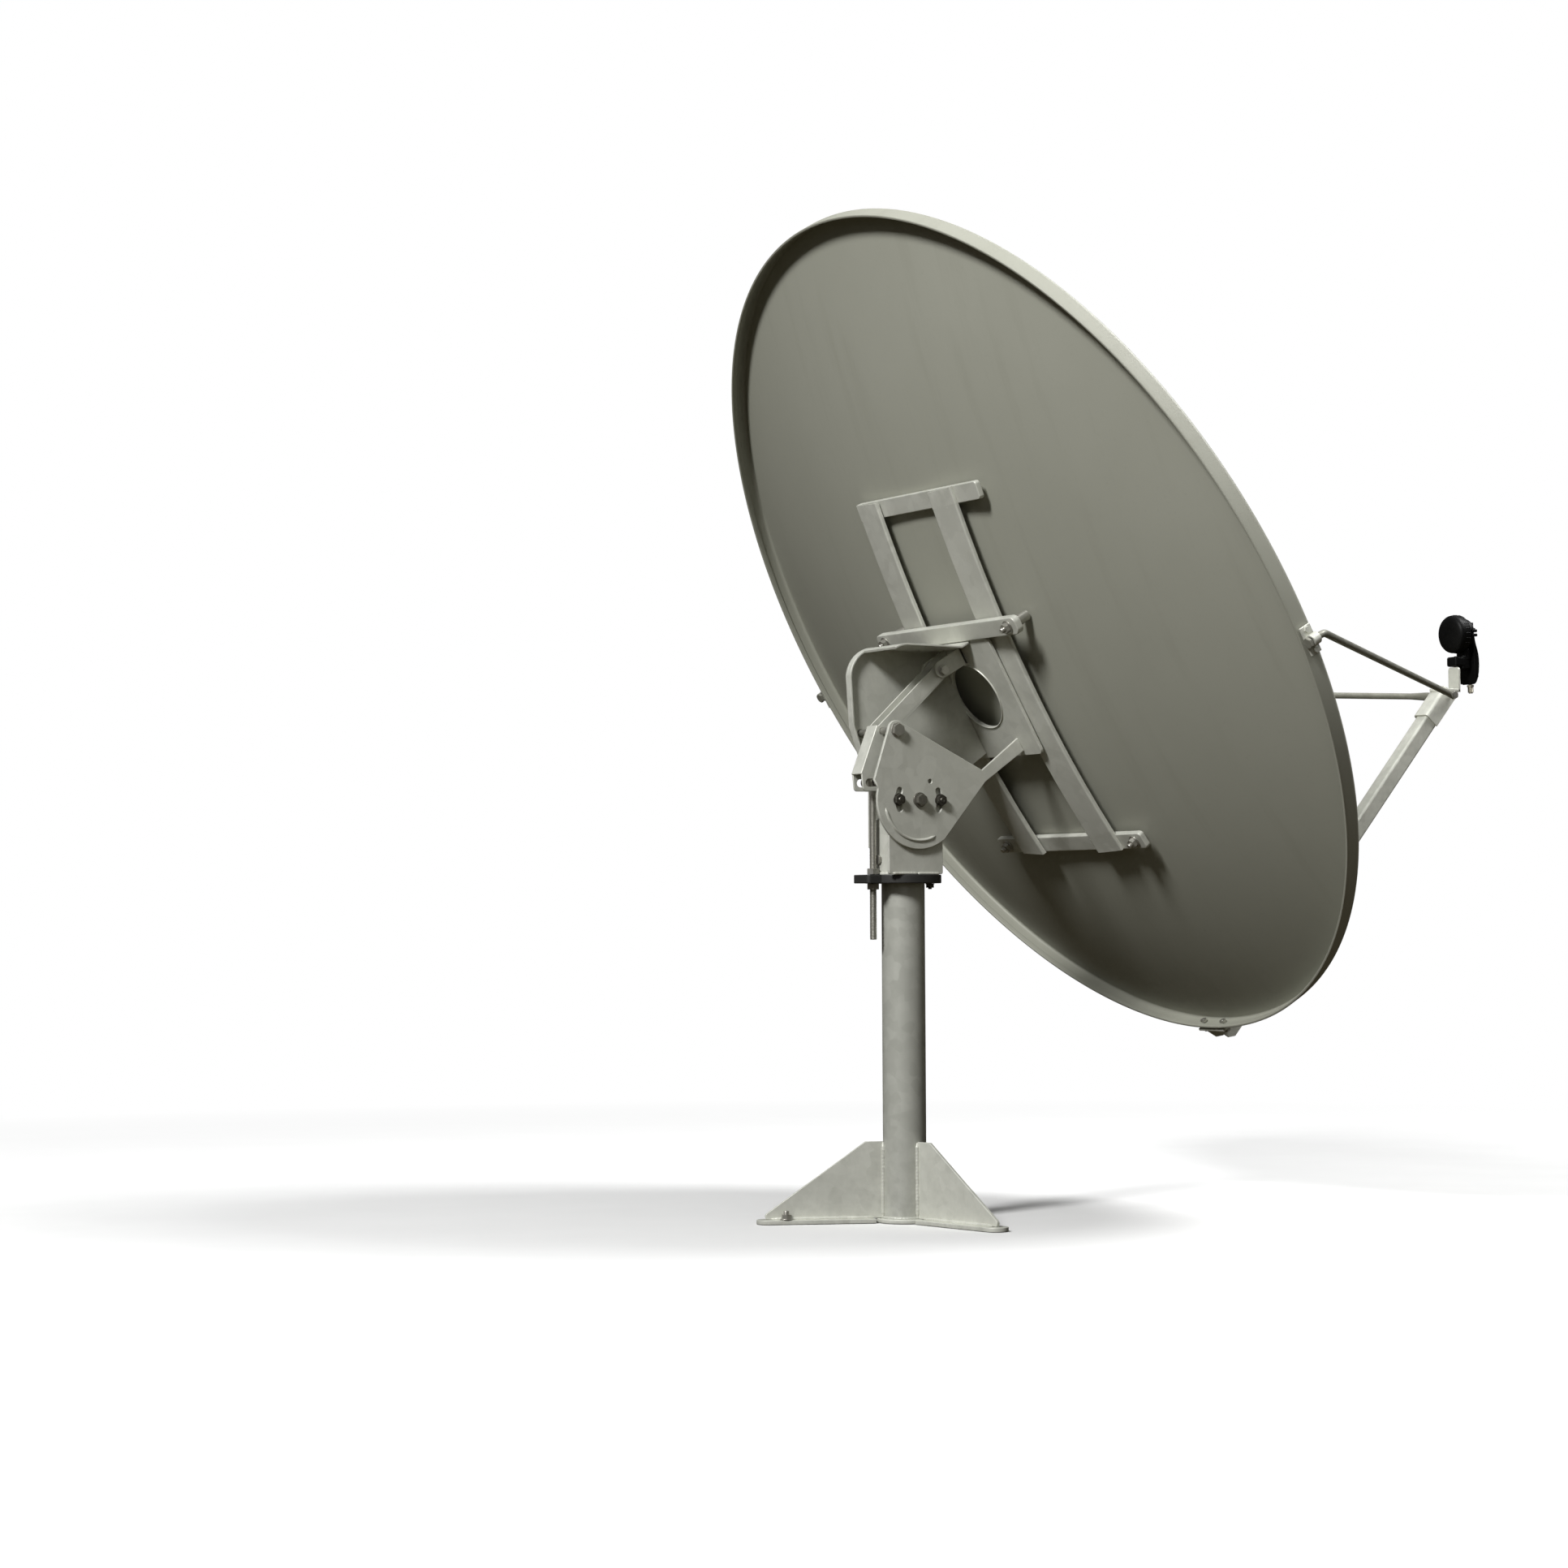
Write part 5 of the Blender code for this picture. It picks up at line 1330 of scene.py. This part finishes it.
def build_feed_tip():
    arm_frame = along(ARM_FOOT, FEED_TIP)
    tip = (FEED_TIP - ARM_FOOT).length
    wall = 0.003
    outer = ARM_SIDE / 2 + 0.0004 + wall

    def saddle(bm):
        middle = outer - wall / 2
        section = folded_section(
            [(-middle, -ARM_SIDE / 2 + 0.0012), (-middle, middle), (middle, middle),
             (middle, -ARM_SIDE / 2 + 0.0012)], wall, 0.0045)
        extrude(bm, arm_frame, section, tip - 0.054, tip + 0.006, 0.0006)
        rounded_box(bm, GROUND, (0.024, 0.042, 0.005), FEED_TIP + Vector((0, -0.004, 0.0085)),
                    0.0010)
        crest = FEED_TIP.z + 0.045
        outline = [(-0.012, FEED_TIP.z + 0.006), (0.012, FEED_TIP.z + 0.006),
                   *arc((0.0075, crest - 0.0045), 0.0045, 0, 90, 6),
                   *arc((-0.0075, crest - 0.0045), 0.0045, 90, 180, 6)]
        face = columns((1, 0, 0), (0, 0, 1), (0, -1, 0), (0, FEED_TIP.y - 0.0230, 0))
        extrude(bm, face, outline, -0.0020, 0.0020, 0.0008)

    fine("feed_tip_bracket", saddle)
    build_holder(feed_frame())


def build_holder(neck):
    bore, outer, width, face, ear = 0.0183, 0.0235, 0.009, 0.0010, 0.0295
    inner_angle = math.degrees(math.asin(face / bore))
    outer_angle = math.degrees(math.asin(0.0055 / outer))
    half = arc((0, 0), bore, 180 - inner_angle, inner_angle, 40)
    half += [(ear - 0.001, face), (ear, face + 0.001), (ear, 0.0045), (ear - 0.001, 0.0055)]
    half += arc((0, 0), outer, outer_angle, 180 - outer_angle, 40)
    half += [(-ear + 0.001, 0.0055), (-ear, 0.0045), (-ear, face + 0.001), (-ear + 0.001, face)]
    for name, turn in (("lnb_holder", 0), ("lnb_holder_cap", math.pi)):
        def ring(bm, name=name, turn=turn):
            place = neck @ Matrix.Rotation(turn, 4, "Z")
            extrude(bm, place, half, -width / 2, width / 2, 0.0008)
            if name == "lnb_holder":
                rounded_box(bm, neck, (0.020, 0.0345, 0.0085), (0, 0.0210 + 0.0345 / 2, 0), 0.0014,
                            3)
                rounded_box(bm, neck, (0.022, 0.0215, 0.0165), (0, 0.0335 + 0.0215 / 2, 0.0040),
                            0.0022, 3)
                hook = FEED_TIP + Vector((0, -0.0275, 0.0535))
                rounded_box(bm, GROUND, (0.0226, 0.0210, 0.0150), hook, 0.0030, 4)
                for sign in (-1, 1):
                    rounded_box(bm, neck, (0.0022, 0.016, 0.0075),
                                (sign * 0.0108, 0.0315, 0), 0.0007)
            else:
                for sign in (-1, 1):
                    screw = place @ columns((1, 0, 0), (0, 0, -1), (0, 1, 0),
                                            (sign * 0.0262, 0.0054, 0))
                    lathe(bm, screw, [(0, 0), (0.0026, 0), (0.0026, 0.0013), (0.0020, 0.0021),
                                      (0, 0.0024)], 24)

        fine(name, ring, BLACK)


def superellipse(width, depth, centre, power, steps=56):
    points = []
    for index in range(steps):
        angle = 2 * math.pi * index / steps
        cos, sin = math.cos(angle), math.sin(angle)
        points.append((
            math.copysign(abs(cos) ** (2 / power), cos) * width,
            centre + math.copysign(abs(sin) ** (2 / power), sin) * depth,
        ))
    return points


def build_lnb():
    neck = feed_frame()

    def horn(bm):
        lathe(bm, neck, [
            (0.0262, 0.0220), (0.0262, 0.0068), (0.0250, 0.0058), (0.0175, 0.0055),
            (0.0175, -0.0052), (0.0110, -0.0052), (0.0110, 0.0060), (0.0135, 0.0090),
            (0.0190, 0.0165), (0.0235, 0.0222), (0.0250, 0.0225),
        ], 72, closed=True)

    fine("lnb_horn", horn, BLACK)

    def cap(bm):
        lathe(bm, neck, [
            (0, 0.0285), (0.0080, 0.02845), (0.0150, 0.0282), (0.0205, 0.0276),
            (0.0245, 0.0264), (0.0273, 0.0246), (0.0288, 0.0222), (0.0294, 0.0192),
            (0.0295, 0.0150), (0.0295, 0.0096), (0.0293, 0.0084), (0.0287, 0.0077),
            (0.0275, 0.0075), (0.0268, 0.0080), (0.0268, 0.0222), (0.0258, 0.0234), (0, 0.0238),
        ], 96)
        for index in range(24):
            turn = neck @ Matrix.Rotation(index * math.pi / 12, 4, "Z")
            rounded_box(bm, turn, (0.0012, 0.0016, 0.0085), (0.0293, 0, 0.0134), 0.0004, 1)

    fine("lnb_cap", cap, BLACK)
    stations = [
        (-0.0180, 0.0079, 0.0100), (-0.0172, 0.0084, 0.0128), (-0.0150, 0.0088, 0.0146),
        (-0.0080, 0.0094, 0.0162), (0.0020, 0.0101, 0.0168), (0.0110, 0.0112, 0.0170),
        (0.0180, 0.0133, 0.0170), (0.0250, 0.0158, 0.0170), (0.0320, 0.0176, 0.0170),
        (0.0400, 0.0184, 0.0170), (0.0500, 0.0182, 0.0170), (0.0600, 0.0168, 0.0169),
        (0.0680, 0.0148, 0.0165), (0.0740, 0.0124, 0.0156), (0.0770, 0.0104, 0.0143),
        (0.0784, 0.0088, 0.0124),
    ]

    def housing(bm):
        rows = []
        front = -0.0058
        for down, back, width in stations:
            depth = (back + front) / 2
            section = superellipse(width, depth, front - depth, 5)
            rows.append([neck @ Vector((x, down, z)) for x, z in section])
        loft(bm, rows)
        rounded_box(bm, neck, (0.0348, 0.094, 0.0016), (0, 0.0302, -0.0070), 0.0007)
        for x in (-0.0125, 0.0125):
            for down in (0.004, 0.066):
                back = 0.0104 if down < 0.03 else 0.0153
                screw = neck @ Matrix.Translation((x, down, -back + 0.0012))
                lathe(bm, screw, [(0, -0.0022), (0.0012, -0.0022), (0.0020, -0.0016),
                                  (0.0022, -0.0006), (0.0022, 0), (0, 0)], 20)

    fine("lnb_housing", housing, BLACK)

    def connector(bm):
        down = neck @ columns((1, 0, 0), (0, 0, -1), (0, 1, 0), (0, 0.0778, -0.0110))
        lathe(bm, down, rod_end(0.0032, -0.009, 0.0145, 0.0004), 28)
        threaded(bm, down, 0.0046, 0.0040, 0.0130, 0.0008, 5, 28)
        hexagon(bm, down, 0.0056, 0.0012, 0.0046)

    fine("lnb_f_connector", connector, NICKEL)


build_base()
build_azimuth_head()
build_jack()
build_side_plates()
build_hub()
build_strut()
for rail_side, rail_sign in SIDES:
    build_rail(rail_side, rail_sign)
for bar_level in BAR_U:
    build_crossbar(bar_level)
build_reflector()
build_arm()
build_stays()
build_feed_tip()
build_lnb()


# ---------------------------------------------------------------- floor, light and camera
def floor_material():
    """Pale to the camera, fading to white far out, and dark to the light that it bounces."""
    material, tree, shader, where = shader_of("studio_floor")
    soft = noise_of(tree, where, 6.0)
    base = mixed(tree, spread(tree, soft, 0.0, 1.0), (0.86, 0.86, 0.855), (0.84, 0.84, 0.835))
    surface(shader, base, 0.9, **{"Specular IOR Level": 0.1})
    white = node(tree, "ShaderNodeEmission", Color=(1, 1, 1), Strength=1.0)
    length = node(tree, "ShaderNodeVectorMath", operation="LENGTH")
    feed(length, 0, where)
    fade = spread(tree, length.outputs["Value"], 0.0, 1.0, 1.6, 3.2)
    pale = mixed_shaders(tree, fade, shader.outputs[0], white.outputs[0])
    dull = node(tree, "ShaderNodeBsdfDiffuse", Color=(0.045, 0.038, 0.024))
    seen = node(tree, "ShaderNodeLightPath").outputs["Is Camera Ray"]
    feed(tree.nodes["Material Output"], "Surface",
         mixed_shaders(tree, seen, dull.outputs[0], pale))
    return material


def build_floor():
    bm = bmesh.new()
    bm.faces.new([bm.verts.new((x, y, -0.0004)) for x, y in circle((0, 0), 40.0, 96)])
    link_mesh("studio_floor", bm, floor_material())


def area_light(name, place, target, size, power):
    data = bpy.data.lights.new(name, "AREA")
    data.shape = "DISK"
    data.size = size
    data.energy = power
    light = bpy.data.objects.new(name, data)
    light.location = place
    direction = Vector(target) - Vector(place)
    light.rotation_euler = direction.to_track_quat("-Z", "Y").to_euler()
    bpy.context.scene.collection.objects.link(light)


def build_light():
    """A dim dome, brighter overhead and white to the camera, with a soft key on each side."""
    world = bpy.data.worlds.new("studio")
    bpy.context.scene.world = world
    world.use_nodes = True
    tree = world.node_tree
    split = node(tree, "ShaderNodeSeparateXYZ")
    feed(split, 0, node(tree, "ShaderNodeTexCoord").outputs["Generated"])
    ramp = node(tree, "ShaderNodeValToRGB")
    stops = ramp.color_ramp.elements
    stops[0].position, stops[0].color = 0.0, (0.008, 0.006, 0.003, 1)
    stops[1].position, stops[1].color = 1.0, (0.62, 0.63, 0.64, 1)
    for at, value in ((0.48, 0.012), (0.56, 0.055), (0.78, 0.17)):
        stops.new(at).color = (value, value, value * 0.99, 1)
    feed(ramp, 0, spread(tree, split.outputs["Z"], 0.0, 1.0, -1.0, 1.0))
    dome = tree.nodes["Background"]
    feed(dome, "Color", ramp.outputs[0])
    white = node(tree, "ShaderNodeBackground", Color=(1, 1, 1))
    seen = node(tree, "ShaderNodeLightPath").outputs["Is Camera Ray"]
    feed(tree.nodes["World Output"], "Surface",
         mixed_shaders(tree, seen, dome.outputs[0], white.outputs[0]))
    area_light("front_key", (-1.2, -2.6, 4.4), (0, -0.3, 0.6), 2.6, 230)
    area_light("rear_key", (-2.6, 5.8, 5.2), (0, -0.1, 0.75), 1.7, 635)
    area_light("fill", (-4.6, 2.2, 1.6), (0, 0, 0.7), 1.6, 8)


def build_camera():
    data = bpy.data.cameras.new("photo_camera")
    data.sensor_width = 36.0
    data.sensor_fit = "HORIZONTAL"
    data.lens = 78.489
    data.clip_end = 100.0
    camera = bpy.data.objects.new("photo_camera", data)
    right = Vector((-0.502634, -0.864487, -0.0047))
    up = Vector((-0.035874, 0.015426, 0.999237))
    forward = Vector((0.863755, -0.502419, 0.038766))
    camera.matrix_world = columns(right, up, -forward, (-4.040534, 2.541574, 0.4245))
    bpy.context.scene.collection.objects.link(camera)
    bpy.context.scene.camera = camera


build_floor()
build_light()
build_camera()
bpy.context.scene.view_settings.view_transform = "Standard"
